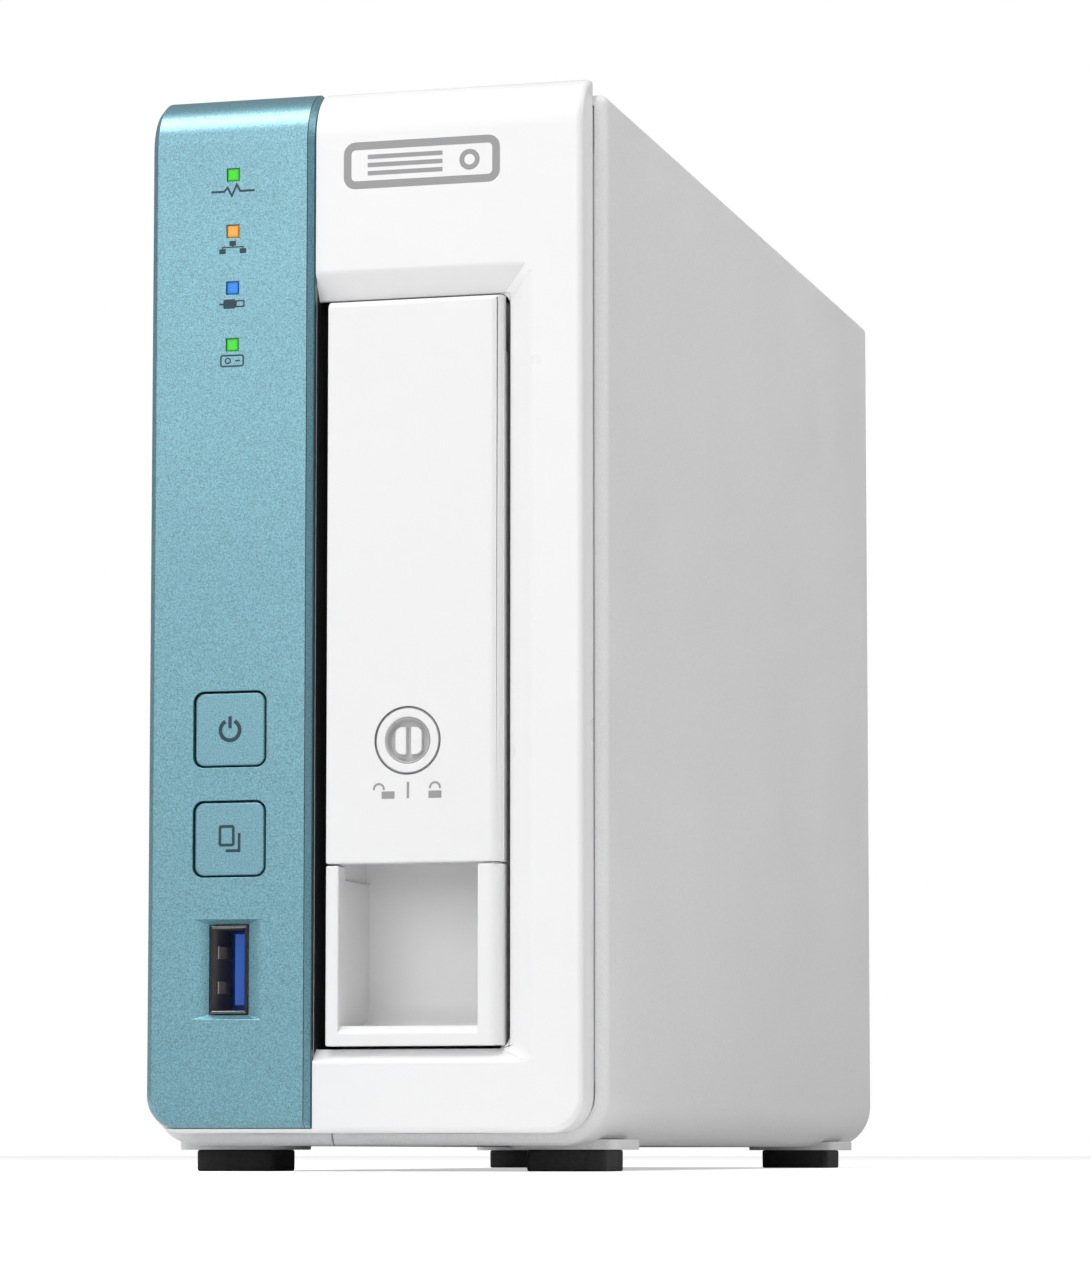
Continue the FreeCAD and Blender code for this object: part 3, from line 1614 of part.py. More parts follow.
def tray_lever():
    """The hinged front of the tray, with its lock."""
    panel = block(
        "LeverPanel", ("tray_left", "tray_right"), ("tray_front", PIN_BACK), ("lever_low", "tray_high")
    )
    panel = fillet(
        "LeverEdges",
        panel,
        ("tray_edge", edges_in(panel, "z", x="tray_right", y="tray_front")),
        ("lever_top_edge", edges_in(panel, "x", y="tray_front", z="tray_high")),
    )
    skirts = [
        block("LeverSkirt%d" % index, span, (PIN_BACK + " - 1.2", PIN_BACK + " + lever_skirt"),
              ("lever_low", PIN_HIGH + " - 4.5"))
        for index, span in enumerate((
            ("tray_left", "tray_left + tray_wall"),
            ("tray_right - tray_wall", "tray_right"),
        ))
    ]
    knuckles = []
    for index, middle in enumerate(("knuckle_left", "knuckle_right")):
        span = around(middle, "knuckle_wide")
        knuckles.append(
            rod("Knuckle%d" % index, "x", (PIN_BACK, PIN_HIGH), span, "knuckle_radius")
        )
    place = ("lock_side", "lock_high")
    collar = rod("LockCollar", "y", place, (PIN_BACK + " - 1", PIN_BACK + " + 5.5"), "lock_collar")
    solid = fuse("LeverSolid", panel, collar, *skirts, *knuckles)
    ear_rooms = []
    for index, (low, high) in enumerate(ear_spans()):
        ear_rooms.append(block(
            "EarRoom%d" % index,
            (low + " - 0.2", high + " + 0.3") if index == 0 else (low + " - 0.3", high + " + 0.2"),
            (PIN_BACK + " - 1.7", PIN_BACK + " + 1"),
            (PIN_HIGH + " - 4.6", PIN_HIGH + " + 3.4"),
        ))
    lock_hole = rod(
        "LockHole", "y", place, ("tray_front - 1", PIN_BACK + " + 6"), "lock_radius + lock_play"
    )
    ring_span = ("tray_front - 1", "tray_front + lock_ring_deep")
    ring = cut(
        "LockRing",
        rod("LockRingOuter", "y", place, ring_span, "lock_ring"),
        rod("LockRingInner", "y", place, ring_span, "lock_ring - lock_ring_wide"),
    )
    pin_hole = rod(
        "LeverPinHole", "x", (PIN_BACK, PIN_HIGH), ("-6", "22"), "pin_radius + pin_play"
    )
    keep(cut("TrayLever", solid, lock_hole, ring, pin_hole, *ear_rooms), "tray_lever")

    end = PIN_BACK + " + 6.4"
    barrel = rod("BarrelRod", "y", place, ("tray_front + 0.9", end), "lock_radius")
    key = block(
        "BarrelKey",
        around("lock_side", "lock_key"),
        ("tray_front + 0.15", "tray_front + 1.5"),
        around("lock_high", "lock_key"),
    )
    key_edges = long_edges(key, "y")
    key = fillet("BarrelKeyRound", key, ("1.1", key_edges))
    coin_slot = block(
        "CoinSlot",
        around("lock_side", "0.8"),
        ("tray_front - 1", "tray_front + 1.3"),
        around("lock_high", "lock_key + 1"),
    )
    keep(cut("LockBarrel", fuse("BarrelSolid", barrel, key), coin_slot), "lock_barrel")
    cam = plain_body(
        "LockCam",
        around("lock_side", "2 * cam_half"),
        (end, end + " + cam_thick"),
        ("lock_high - cam_half", "lock_high + cam_reach"),
    )
    keep(cam, "lock_cam")


def cover_screws():
    """The screws that hold the rear panel and both covers together."""
    screws = [
        screw("CoverScrew%d" % index, "y", place, PANEL_BACK, "11", "cage_screw")
        for index, place in enumerate(COVER_POSTS["left"] + COVER_POSTS["right"])
    ]
    keep(group("CoverScrews", screws), "cover_screws")


# ---------------------------------------------------------------- build, check, export

def check_and_export():
    """Stops on any failed object or bad shape, then writes one file for each sub-part."""
    doc.recompute()
    for item in doc.Objects:
        if "Invalid" in item.State or "Error" in item.State:
            raise RuntimeError("%s (%s) failed: %s" % (item.Name, item.Label, item.State))
    os.makedirs("parts", exist_ok=True)
    for label, item in sub_parts.items():
        shape = item.Shape
        if shape.isNull() or not shape.isValid() or not shape.Solids:
            raise RuntimeError("%s has no valid solid" % label)
        print("%-22s %2d solid %10.1f mm3" % (label, len(shape.Solids), shape.Volume))
    for label, item in sub_parts.items():
        item.Shape.exportStep("parts/%s.step" % label)


cover("left")
cover("right")
feet()
front_bezel()
front_plate()
rear_panel()
cover_screws()
buttons()
lamps()
boards()
rear_ports()
fan()
fan_lead()
cage()
hard_drive()
tray_body()
tray_lever()
check_and_export()
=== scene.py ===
"""Looks for a one-bay network storage box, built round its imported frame.

Everything is in metres in the frame's axes: +Z up, the front of the box faces -Y, and +X is to
the right of a person who looks at the front. Places are worked out from the frame's own boxes.
"""
import json
import math

import bmesh
import bpy
from bpy.props import FloatProperty, FloatVectorProperty, IntProperty, PointerProperty
from mathutils import Matrix, Vector
from mathutils.bvhtree import BVHTree

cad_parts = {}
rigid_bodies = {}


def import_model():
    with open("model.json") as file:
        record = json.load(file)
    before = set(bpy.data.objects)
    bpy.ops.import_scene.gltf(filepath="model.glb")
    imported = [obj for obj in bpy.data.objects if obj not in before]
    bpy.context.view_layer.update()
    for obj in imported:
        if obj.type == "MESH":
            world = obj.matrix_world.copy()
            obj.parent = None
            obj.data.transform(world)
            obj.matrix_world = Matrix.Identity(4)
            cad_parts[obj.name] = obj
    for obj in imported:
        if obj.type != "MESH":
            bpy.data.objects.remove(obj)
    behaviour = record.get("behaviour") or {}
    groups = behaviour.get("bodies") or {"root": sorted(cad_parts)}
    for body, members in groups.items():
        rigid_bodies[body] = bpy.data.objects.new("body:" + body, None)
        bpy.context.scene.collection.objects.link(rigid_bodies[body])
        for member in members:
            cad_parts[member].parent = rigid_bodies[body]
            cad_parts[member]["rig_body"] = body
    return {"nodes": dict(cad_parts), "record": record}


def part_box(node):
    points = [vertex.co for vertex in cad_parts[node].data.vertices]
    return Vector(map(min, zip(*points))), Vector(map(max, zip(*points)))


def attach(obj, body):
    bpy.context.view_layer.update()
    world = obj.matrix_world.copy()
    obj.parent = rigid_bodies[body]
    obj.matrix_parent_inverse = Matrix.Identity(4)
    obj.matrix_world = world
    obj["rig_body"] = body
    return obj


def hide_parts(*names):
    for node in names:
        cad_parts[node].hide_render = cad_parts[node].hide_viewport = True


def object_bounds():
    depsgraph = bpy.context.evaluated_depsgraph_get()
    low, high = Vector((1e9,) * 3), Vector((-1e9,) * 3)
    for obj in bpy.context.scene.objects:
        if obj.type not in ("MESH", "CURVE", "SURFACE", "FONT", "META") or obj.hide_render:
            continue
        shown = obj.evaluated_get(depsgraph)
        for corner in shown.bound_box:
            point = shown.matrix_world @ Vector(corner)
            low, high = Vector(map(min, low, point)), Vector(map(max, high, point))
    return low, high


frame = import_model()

bl_info = {
    "name": "Network storage box",
    "version": (1, 0, 0),
    "blender": (4, 5, 0),
    "location": "View3D > Sidebar > Storage Box",
    "description": "Builds the visible shells, controls, drive tray and finishes of a storage box",
    "category": "Object",
}

MM = 0.001
CAD_LOW, CAD_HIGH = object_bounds()
SLOT_OF = {item["node"]: item["material_slot"] for item in frame["record"]["subparts"]}
MERGE = 0.002 * MM          # points closer together than this become one
FLAT = math.radians(0.6)    # faces that turn less than this become one flat area
CREASE = math.radians(28)   # a fold sharper than this is an edge to round
ROOM = 0.42                 # share of the room beside an edge that its rounding may take
STEEP = 0.75                # cosine below which two edges meet at a steep angle
STRAY = 0.45                # share of the rounding's width that a point may leave its surface by
PROUD = 0.01 * MM           # how far a rounded point may stand out of its surface
COLOUR_A, COLOUR_B = 6, 7   # a colour mix node's two colour sockets, which share their names
HEAD_WIDTH = 3.6            # a screw head's width, in radii of the shank
HEAD_HEIGHT = 0.5           # a screw head's height, in radii of the shank


# ---------------------------------------------------------------- settings

def colour_setting(name, description, default):
    """A colour that the panel can change."""
    return FloatVectorProperty(
        name=name, description=description, default=default, subtype="COLOR", min=0, max=1, size=3
    )


def length_setting(name, description, default):
    """A length that the panel can change."""
    return FloatProperty(
        name=name, description=description, default=default, unit="LENGTH", min=0, precision=5
    )


class CasingLook(bpy.types.PropertyGroup):
    """Finish of the white shells."""

    shell: colour_setting("Casing", "Colour of the two grained covers", (0.80, 0.80, 0.805))
    front: colour_setting("Front", "Colour of the smooth front cap", (0.86, 0.86, 0.865))
    tray: colour_setting("Tray", "Colour of the tray's front", (0.84, 0.84, 0.845))
    grain: length_setting("Grain", "Size of the casing's moulded grain", 0.36 * MM)
    edge: length_setting("Edge", "Rounding of the shells' small edges", 0.16 * MM)
    recess_edge: length_setting("Recess edge", "Rounding round the tray's recess", 0.45 * MM)
    tray_edge: length_setting("Tray edge", "Rounding of the tray's edges", 0.3 * MM)


class PlateLook(bpy.types.PropertyGroup):
    """Finish of the coloured plate and its two buttons."""

    paint: colour_setting("Paint", "Colour of the metallic paint", (0.150, 0.345, 0.415))
    fleck: length_setting("Fleck", "Size of the flecks in the paint", 0.22 * MM)
    print_ink: colour_setting("Print", "Colour of the printed signs", (0.012, 0.045, 0.065))
    print_thick: length_setting("Print thickness", "How far the print stands out", 0.015 * MM)
    edge: length_setting("Edge", "Rounding of the plate's small edges", 0.10 * MM)


class LampLook(bpy.types.PropertyGroup):
    """Colours of the four lamps, from the top one down."""

    status: colour_setting("Status", "Top lamp", (0.030, 0.68, 0.002))
    network: colour_setting("Network", "Second lamp", (0.92, 0.38, 0.03))
    usb: colour_setting("Port", "Third lamp", (0.001, 0.22, 0.82))
    drive: colour_setting("Drive", "Bottom lamp", (0.030, 0.68, 0.002))
    glow: FloatProperty(name="Glow", description="Strength of the lit lenses", default=0.85, min=0)


class FanLook(bpy.types.PropertyGroup):
    """Shape of the fan's rotor."""

    blades: IntProperty(name="Blades", description="Number of blades", default=7, min=3, max=12)
    lean: FloatProperty(
        name="Lean", description="Angle of a blade to the fan's axis", default=math.radians(52),
        subtype="ANGLE",
    )


class StageLook(bpy.types.PropertyGroup):
    """Camera, light and floor."""

    camera_place: FloatVectorProperty(
        name="Camera", description="Place of the camera", default=(0.2101, -0.7806, 0.0030),
        subtype="TRANSLATION", unit="LENGTH",
    )
    turn: FloatProperty(
        name="Turn", description="Camera's turn to the left", default=math.radians(15.06),
        subtype="ANGLE",
    )
    tilt: FloatProperty(
        name="Tilt", description="Camera's tilt upwards", default=math.radians(5.17),
        subtype="ANGLE",
    )
    lens: FloatProperty(
        name="Lens", description="Focal length", default=128.2, subtype="DISTANCE_CAMERA"
    )
    rise: FloatProperty(name="Rise", description="Upward shift of the lens", default=0.078)
    floor: colour_setting("Floor", "Colour of the floor", (0.93, 0.93, 0.93))
    key: FloatProperty(name="Key light", description="Power of the front light", default=7.5)
    side: FloatProperty(name="Side light", description="Power of the side light", default=0.7)
    over: FloatProperty(name="Overhead", description="Power of the overhead panel", default=5.0)
    top: FloatProperty(name="Top light", description="Strength of the top light", default=0.5)
    fill: FloatProperty(name="Fill", description="Strength of the surrounding light", default=0.25)


def look(kind):
    """One group of this scene's settings."""
    return getattr(bpy.context.scene, "storage_" + kind)


# ---------------------------------------------------------------- node helpers

def add_node(tree, kind, **values):
    """A node with its named inputs set."""
    node = tree.nodes.new(kind)
    for name, value in values.items():
        node.inputs[name.replace("_", " ")].default_value = value
    return node


def math_node(tree, operation, first, second):
    """Arithmetic on two sockets or numbers. Returns the output."""
    node = tree.nodes.new("ShaderNodeMath")
    node.operation = operation
    for socket, source in zip(node.inputs, (first, second)):
        if isinstance(source, bpy.types.NodeSocket):
            tree.links.new(source, socket)
        else:
            socket.default_value = source
    return node.outputs[0]


def new_group(name, inputs, outputs):
    """A shader node group with its sockets. Returns the tree, its input and its output node."""
    tree = bpy.data.node_groups.new(name, "ShaderNodeTree")
    for label, kind, default in inputs:
        socket = tree.interface.new_socket(label, in_out="INPUT", socket_type=kind)
        if default is not None:
            socket.default_value = default
    for label, kind in outputs:
        tree.interface.new_socket(label, in_out="OUTPUT", socket_type=kind)
    return tree, tree.nodes.new("NodeGroupInput"), tree.nodes.new("NodeGroupOutput")


def grain_group():
    """Moulded or painted grain: pits of one size with a finer noise over them."""
    name = "Fine grain"
    if name in bpy.data.node_groups:
        return bpy.data.node_groups[name]
    inputs = [
        ("Vector", "NodeSocketVector", None),
        ("Size", "NodeSocketFloat", 0.0004),
        ("Fine share", "NodeSocketFloat", 0.35),
    ]
    tree, source, result = new_group(name, inputs, [("Height", "NodeSocketFloat")])
    scale = math_node(tree, "DIVIDE", 1.0, source.outputs["Size"])
    coarse = add_node(tree, "ShaderNodeTexNoise", Detail=1.5, Roughness=0.5)
    fine = add_node(tree, "ShaderNodeTexNoise", Detail=2.0, Roughness=0.6)
    tree.links.new(source.outputs["Vector"], coarse.inputs["Vector"])
    tree.links.new(source.outputs["Vector"], fine.inputs["Vector"])
    tree.links.new(scale, coarse.inputs["Scale"])
    tree.links.new(math_node(tree, "MULTIPLY", scale, 2.3), fine.inputs["Scale"])
    mix = tree.nodes.new("ShaderNodeMix")
    tree.links.new(source.outputs["Fine share"], mix.inputs[0])
    tree.links.new(coarse.outputs[0], mix.inputs[2])
    tree.links.new(fine.outputs[0], mix.inputs[3])
    tree.links.new(mix.outputs[0], result.inputs["Height"])
    return tree


def mottle_group():
    """Slow colour drift of a moulding, with a trace of dust that gathers in patches."""
    name = "Mottle"
    if name in bpy.data.node_groups:
        return bpy.data.node_groups[name]
    inputs = [
        ("Vector", "NodeSocketVector", None),
        ("Colour", "NodeSocketColor", None),
        ("Size", "NodeSocketFloat", 0.03),
        ("Amount", "NodeSocketFloat", 0.04),
    ]
    outputs = [("Colour", "NodeSocketColor"), ("Mask", "NodeSocketFloat")]
    tree, source, result = new_group(name, inputs, outputs)
    noise = add_node(tree, "ShaderNodeTexNoise", Detail=3.0, Roughness=0.55)
    tree.links.new(source.outputs["Vector"], noise.inputs["Vector"])
    tree.links.new(math_node(tree, "DIVIDE", 1.0, source.outputs["Size"]), noise.inputs["Scale"])
    drift = math_node(tree, "SUBTRACT", noise.outputs[0], 0.5)
    scaled = math_node(tree, "MULTIPLY", drift, source.outputs["Amount"])
    level = math_node(tree, "ADD", math_node(tree, "MULTIPLY", scaled, 2.0), 1.0)
    tint = tree.nodes.new("ShaderNodeVectorMath")
    tint.operation = "SCALE"
    tree.links.new(source.outputs["Colour"], tint.inputs[0])
    tree.links.new(level, tint.inputs["Scale"])
    tree.links.new(tint.outputs[0], result.inputs["Colour"])
    tree.links.new(noise.outputs[0], result.inputs["Mask"])
    return tree


def add_group(tree, group, **values):
    """A node that holds a group, with its named inputs set."""
    node = tree.nodes.new("ShaderNodeGroup")
    node.node_tree = group
    for name, value in values.items():
        node.inputs[name.replace("_", " ")].default_value = value
    return node


def spread(tree, value, low, high):
    """Maps a noise value of about 0.3 to 0.7 onto a range."""
    node = tree.nodes.new("ShaderNodeMapRange")
    for name, number in (("From Min", 0.3), ("From Max", 0.7), ("To Min", low), ("To Max", high)):
        node.inputs[name].default_value = number
    tree.links.new(value, node.inputs["Value"])
    return node.outputs[0]


def surface(name, colour, roughness, grain, depth, metallic=0.0, fleck=0.0, mottle=0.03,
            patch=25 * MM, rough_swing=0.08, bump=0.5):
    """A moulded, painted or metal surface with grain, flecks and a slow drift of its colour.

    fleck is how much the grain lightens and darkens the colour, and depth is the grain's depth."""
    if name in bpy.data.materials:
        return bpy.data.materials[name]
    material = bpy.data.materials.new(name)
    material.use_nodes = True
    material.diffuse_color = (*colour, 1)
    tree = material.node_tree
    shader = tree.nodes["Principled BSDF"]
    place = tree.nodes.new("ShaderNodeTexCoord").outputs["Object"]
    grains = add_group(tree, grain_group(), Size=grain)
    drift = add_group(tree, mottle_group(), Colour=(*colour, 1), Size=patch, Amount=mottle)
    tree.links.new(place, grains.inputs["Vector"])
    tree.links.new(place, drift.inputs["Vector"])
    shade = drift.outputs["Colour"]
    if fleck:
        flecks = tree.nodes.new("ShaderNodeVectorMath")
        flecks.operation = "SCALE"
        tree.links.new(shade, flecks.inputs[0])
        tree.links.new(spread(tree, grains.outputs["Height"], 1 - fleck, 1 + fleck),
                       flecks.inputs["Scale"])
        shade = flecks.outputs[0]
    tree.links.new(shade, shader.inputs["Base Color"])
    low = max(roughness - rough_swing, 0.03)
    tree.links.new(
        spread(tree, drift.outputs["Mask"], low, roughness + rough_swing),
        shader.inputs["Roughness"],
    )
    relief = add_node(tree, "ShaderNodeBump", Strength=bump, Distance=depth)
    tree.links.new(grains.outputs["Height"], relief.inputs["Height"])
    tree.links.new(relief.outputs[0], shader.inputs["Normal"])
    shader.inputs["Metallic"].default_value = metallic
    return material


def paint_over(tree, share, colour):
    """Lays a colour over a material's own one, as far as share goes from 0 to 1."""
    base = tree.nodes["Principled BSDF"].inputs["Base Color"]
    mix = tree.nodes.new("ShaderNodeMix")
    mix.data_type = "RGBA"
    mix.inputs[COLOUR_B].default_value = (*colour, 1)
    tree.links.new(share, mix.inputs[0])
    tree.links.new(base.links[0].from_socket, mix.inputs[COLOUR_A])
    tree.links.new(mix.outputs[2], base)


def casing_paint():
    casing = look("casing")
    return surface("Grained white", casing.shell, 0.52, casing.grain, 0.09 * MM,
                   fleck=0.045, mottle=0.012, bump=0.8)


def front_paint():
    return surface("Smooth white", look("casing").front, 0.34, 1.1 * MM, 0.006 * MM, mottle=0.01)


def tray_paint():
    return surface("Tray white", look("casing").tray, 0.36, 0.9 * MM, 0.008 * MM, mottle=0.012)


def plate_paint():
    """Metallic paint, with painted shade along a crease near the plate's right edge and on its rim.
    """
    crease_in = 1.02 * MM
    crease_half = 0.08 * MM
    rim_width = 0.14 * MM
    edge_shade_strength = 0.8
    plate = look("plate")
    name = "Metallic teal"
    if name in bpy.data.materials:
        return bpy.data.materials[name]
    material = surface(name, plate.paint, 0.34, plate.fleck, 0.028 * MM,
                       metallic=0.55, fleck=0.5, mottle=0.015, rough_swing=0.04)
    tree = material.node_tree
    shader = tree.nodes["Principled BSDF"]
    shader.inputs["Coat Weight"].default_value = 0.9
    shader.inputs["Coat Roughness"].default_value = 0.3
    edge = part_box("front_plate")[1].x
    apart = tree.nodes.new("ShaderNodeSeparateXYZ")
    tree.links.new(tree.nodes.new("ShaderNodeTexCoord").outputs["Object"], apart.inputs[0])
    # Painted shade: crease, rim and seam mask where the paint turns dark teal, along the crease
    # line near the right edge and over the rim, as these edges' shade.
    near = math_node(tree, "SUBTRACT", apart.outputs["X"], edge - crease_in)
    crease = math_node(tree, "LESS_THAN", math_node(tree, "ABSOLUTE", near, 0.0), crease_half)
    rim = math_node(tree, "GREATER_THAN", apart.outputs["X"], edge - rim_width)
    seam = math_node(tree, "MULTIPLY", math_node(tree, "MAXIMUM", crease, rim), edge_shade_strength)
    paint_over(tree, seam, (0.01, 0.045, 0.06))
    return material


def print_ink():
    return surface("Dark print", look("plate").print_ink, 0.5, 0.2 * MM, 0.004 * MM, mottle=0.08)


def grey_ink():
    return surface("Grey print", (0.32, 0.32, 0.325), 0.45, 0.2 * MM, 0.004 * MM, mottle=0.03)


# Dark grey painted shade for the lock's ring groove.
def groove_shade():
    return surface("Fine line", (0.10, 0.10, 0.10), 0.6, 0.2 * MM, 0.004 * MM, mottle=0.05)


# Grey that stands for the shade in the lock's dished recess: painted shade.
def lock_recess_shade():
    return surface("Lock grey", (0.52, 0.52, 0.525), 0.4, 0.3 * MM, 0.006 * MM, mottle=0.03)


def black_plastic():
    return surface("Black plastic", (0.012, 0.012, 0.013), 0.42, 0.5 * MM, 0.02 * MM, fleck=0.2)


# Black paint laid where shade falls: painted shade inside the tray's recess and inside the front
# port.
def painted_shade_liner():
    return surface("Dark liner", (0.006, 0.006, 0.007), 0.6, 0.5 * MM, 0.01 * MM, fleck=0.1)


def foot_rubber():
    return surface("Foot rubber", (0.022, 0.022, 0.023), 0.68, 0.55 * MM, 0.06 * MM, fleck=0.35)


def plated_steel():
    return surface("Plated steel", (0.56, 0.56, 0.55), 0.27, 0.4 * MM, 0.003 * MM,
                   metallic=1.0, mottle=0.05, patch=6 * MM)


def dull_steel():
    return surface("Dull steel", (0.36, 0.33, 0.31), 0.55, 0.3 * MM, 0.01 * MM,
                   metallic=0.7, mottle=0.12, patch=3 * MM)


def screw_steel():
    return surface("Screw steel", (0.42, 0.42, 0.43), 0.30, 0.3 * MM, 0.004 * MM,
                   metallic=1.0, mottle=0.10, patch=2 * MM)


def cast_metal():
    return surface("Cast aluminium", (0.50, 0.51, 0.53), 0.42, 0.6 * MM, 0.03 * MM,
                   metallic=1.0, fleck=0.06, mottle=0.06, patch=9 * MM)


def lid_metal():
    return surface("Lid metal", (0.66, 0.67, 0.69), 0.24, 1.2 * MM, 0.004 * MM,
                   metallic=1.0, mottle=0.04, patch=18 * MM)


def gold_contact():
    return surface("Gold contact", (0.85, 0.58, 0.22), 0.25, 0.2 * MM, 0.002 * MM, metallic=1.0)


def port_blue():
    return surface("Port blue", (0.004, 0.075, 0.42), 0.45, 0.3 * MM, 0.006 * MM, mottle=0.06)


def white_nylon():
    return surface("White nylon", (0.74, 0.74, 0.70), 0.45, 0.3 * MM, 0.006 * MM)


def fan_plastic():
    return surface("Fan plastic", (0.014, 0.014, 0.016), 0.38, 0.6 * MM, 0.012 * MM, fleck=0.15)


def copper_core():
    return surface("Wound core", (0.34, 0.15, 0.06), 0.4, 0.5 * MM, 0.1 * MM,
                   metallic=0.6, fleck=0.3, patch=4 * MM)


def lead_sleeve():
    return surface("Lead sleeve", (0.02, 0.02, 0.022), 0.55, 0.3 * MM, 0.02 * MM)


def board_resist():
    """Solder resist with the lighter lines of the copper tracks under it."""
    name = "Board resist"
    if name in bpy.data.materials:
        return bpy.data.materials[name]
    material = surface(name, (0.010, 0.085, 0.035), 0.3, 0.5 * MM, 0.006 * MM, mottle=0.1)
    tree = material.node_tree
    track_gap = 3.2 * MM
    track_half = 0.06
    place = tree.nodes.new("ShaderNodeTexCoord").outputs["Object"]
    tracks = add_node(tree, "ShaderNodeTexVoronoi", Scale=1 / track_gap)
    tracks.distance = "CHEBYCHEV"
    tracks.feature = "DISTANCE_TO_EDGE"
    tree.links.new(place, tracks.inputs["Vector"])
    line = math_node(tree, "LESS_THAN", tracks.outputs[0], track_half)
    paint_over(tree, line, (0.03, 0.19, 0.07))
    return material


def lens(name, colour, centre, half):
    """A lit lens: bright in the middle and deeper in colour towards its rim."""
    unlit_share, rim_share = 0.25, 0.28
    core_end, rim_start = 0.55, 0.98
    base = [unlit_share * part for part in colour]
    material = surface(name, base, 0.22, 0.6 * MM, 0.004 * MM, mottle=0.05, patch=1 * MM)
    tree = material.node_tree
    shader = tree.nodes["Principled BSDF"]
    place = tree.nodes.new("ShaderNodeTexCoord").outputs["Object"]
    middle = add_node(tree, "ShaderNodeMapping", Location=tuple(-centre))
    tree.links.new(place, middle.inputs["Vector"])
    apart = tree.nodes.new("ShaderNodeSeparateXYZ")
    tree.links.new(middle.outputs[0], apart.inputs[0])
    across = math_node(tree, "ABSOLUTE", apart.outputs["X"], 0.0)
    up = math_node(tree, "ABSOLUTE", apart.outputs["Z"], 0.0)
    reach = math_node(tree, "DIVIDE", math_node(tree, "MAXIMUM", across, up), half)
    ramp = tree.nodes.new("ShaderNodeValToRGB")
    ramp.color_ramp.elements[0].position = core_end
    ramp.color_ramp.elements[0].color = (*colour, 1)
    ramp.color_ramp.elements[1].position = rim_start
    ramp.color_ramp.elements[1].color = (*[rim_share * part for part in colour], 1)
    tree.links.new(reach, ramp.inputs[0])
    tree.links.new(ramp.outputs[0], shader.inputs["Emission Color"])
    shader.inputs["Emission Strength"].default_value = look("lamp").glow
    return material


# ---------------------------------------------------------------- mesh helpers

def plain_mesh(work, name):
    """Writes a bmesh to a new mesh with outward faces, and frees it."""
    bmesh.ops.recalc_face_normals(work, faces=work.faces)
    mesh = bpy.data.meshes.new(name)
    work.to_mesh(mesh)
    work.free()
    return mesh


def place_piece(name, mesh, material, body, stands_for=()):
    """Makes a piece of a mesh, which rides on a body and takes the given finish."""
    item = bpy.data.objects.new(name, mesh)
    bpy.context.scene.collection.objects.link(item)
    if material is not None:
        mesh.materials.clear()
        mesh.materials.append(material)
    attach(item, body)
    if stands_for:
        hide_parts(*stands_for)
    return item


def smooth(mesh, angle=CREASE):
    """Smooth shading that stays sharp at creases."""
    mesh.shade_smooth()
    mesh.set_sharp_from_angle(angle=angle)


def plainly(item):
    """Turns an object's modifiers into mesh and removes them."""
    bpy.context.view_layer.update()
    graph = bpy.context.evaluated_depsgraph_get()
    mesh = bpy.data.meshes.new_from_object(
        item.evaluated_get(graph), preserve_all_data_layers=True, depsgraph=graph
    )
    item.modifiers.clear()
    item.data = mesh
    return mesh


def merged_copy(node):
    """A bmesh with a node's shape, its doubles merged and its flat areas joined.

    A flat ring would lose its hole, so the flat bottom of the lever's ring groove keeps its own
    faces."""
    work = bmesh.new()
    work.from_mesh(frame["nodes"][node].data)
    bmesh.ops.remove_doubles(work, verts=work.verts, dist=MERGE)
    kept = ring_edges(work) if node == "tray_lever" else set()
    edges = [edge for edge in work.edges if edge not in kept]
    verts = [vert for vert in work.verts if kept.isdisjoint(vert.link_edges)]
    bmesh.ops.dissolve_limit(
        work, angle_limit=FLAT, verts=verts, edges=edges, delimit={"MATERIAL"}
    )
    return work


def ring_edges(work):
    """The edges in the ring groove and the bore round the lock."""
    groove_radius = 6 * MM
    nearest, deepest = 0.05 * MM, 2.5 * MM
    low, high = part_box("lock_barrel")
    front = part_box("tray_lever")[0].y
    found = set()
    for edge in work.edges:
        middle = (edge.verts[0].co + edge.verts[1].co) / 2
        reach = math.hypot(middle.x - (low.x + high.x) / 2, middle.z - (low.z + high.z) / 2)
        if reach < groove_radius and front + nearest < middle.y < front + deepest:
            found.add(edge)
    return found


def room_beside(edge):
    """Length of the shortest edge that leaves this one's ends at a steep angle."""
    room = 1.0
    for vert in edge.verts:
        along = edge.other_vert(vert).co - vert.co
        for other in vert.link_edges:
            if other != edge:
                away = other.other_vert(vert).co - vert.co
                if abs(along.dot(away)) < STEEP * along.length * away.length:
                    room = min(room, away.length)
    return room


def round_edges(item, width, share=None, segments=2):
    """Rounds the creases of a piece. share(midpoint) says how much of the width an edge gets."""
    mesh = item.data
    work = bmesh.new()
    work.from_mesh(mesh)
    before = BVHTree.FromBMesh(work)
    layer = work.edges.layers.float.new("bevel_weight_edge")
    for edge in work.edges:
        if len(edge.link_faces) == 2 and edge.calc_face_angle(0) > CREASE:
            middle = (edge.verts[0].co + edge.verts[1].co) / 2
            wanted = share(middle) if share else 1.0
            edge[layer] = min(wanted, ROOM * room_beside(edge) / width)
    work.to_mesh(mesh)
    work.free()
    mesh.shade_smooth()
    bevel = item.modifiers.new("Round edges", "BEVEL")
    bevel.limit_method = "WEIGHT"
    bevel.width = width
    bevel.segments = segments
    bevel.use_clamp_overlap = False
    rounded_mesh = plainly(item)
    for vert in rounded_mesh.vertices:
        spot, facing, face, gap = before.find_nearest(vert.co)
        outside = (vert.co - spot).dot(facing) > 0
        if gap > STRAY * width or outside and gap > PROUD:
            vert.co = spot
    level = item.modifiers.new("Level faces", "WEIGHTED_NORMAL")
    level.mode = "FACE_AREA_WITH_ANGLE"
    level.weight = 100
    level.keep_sharp = True
    plainly(item)


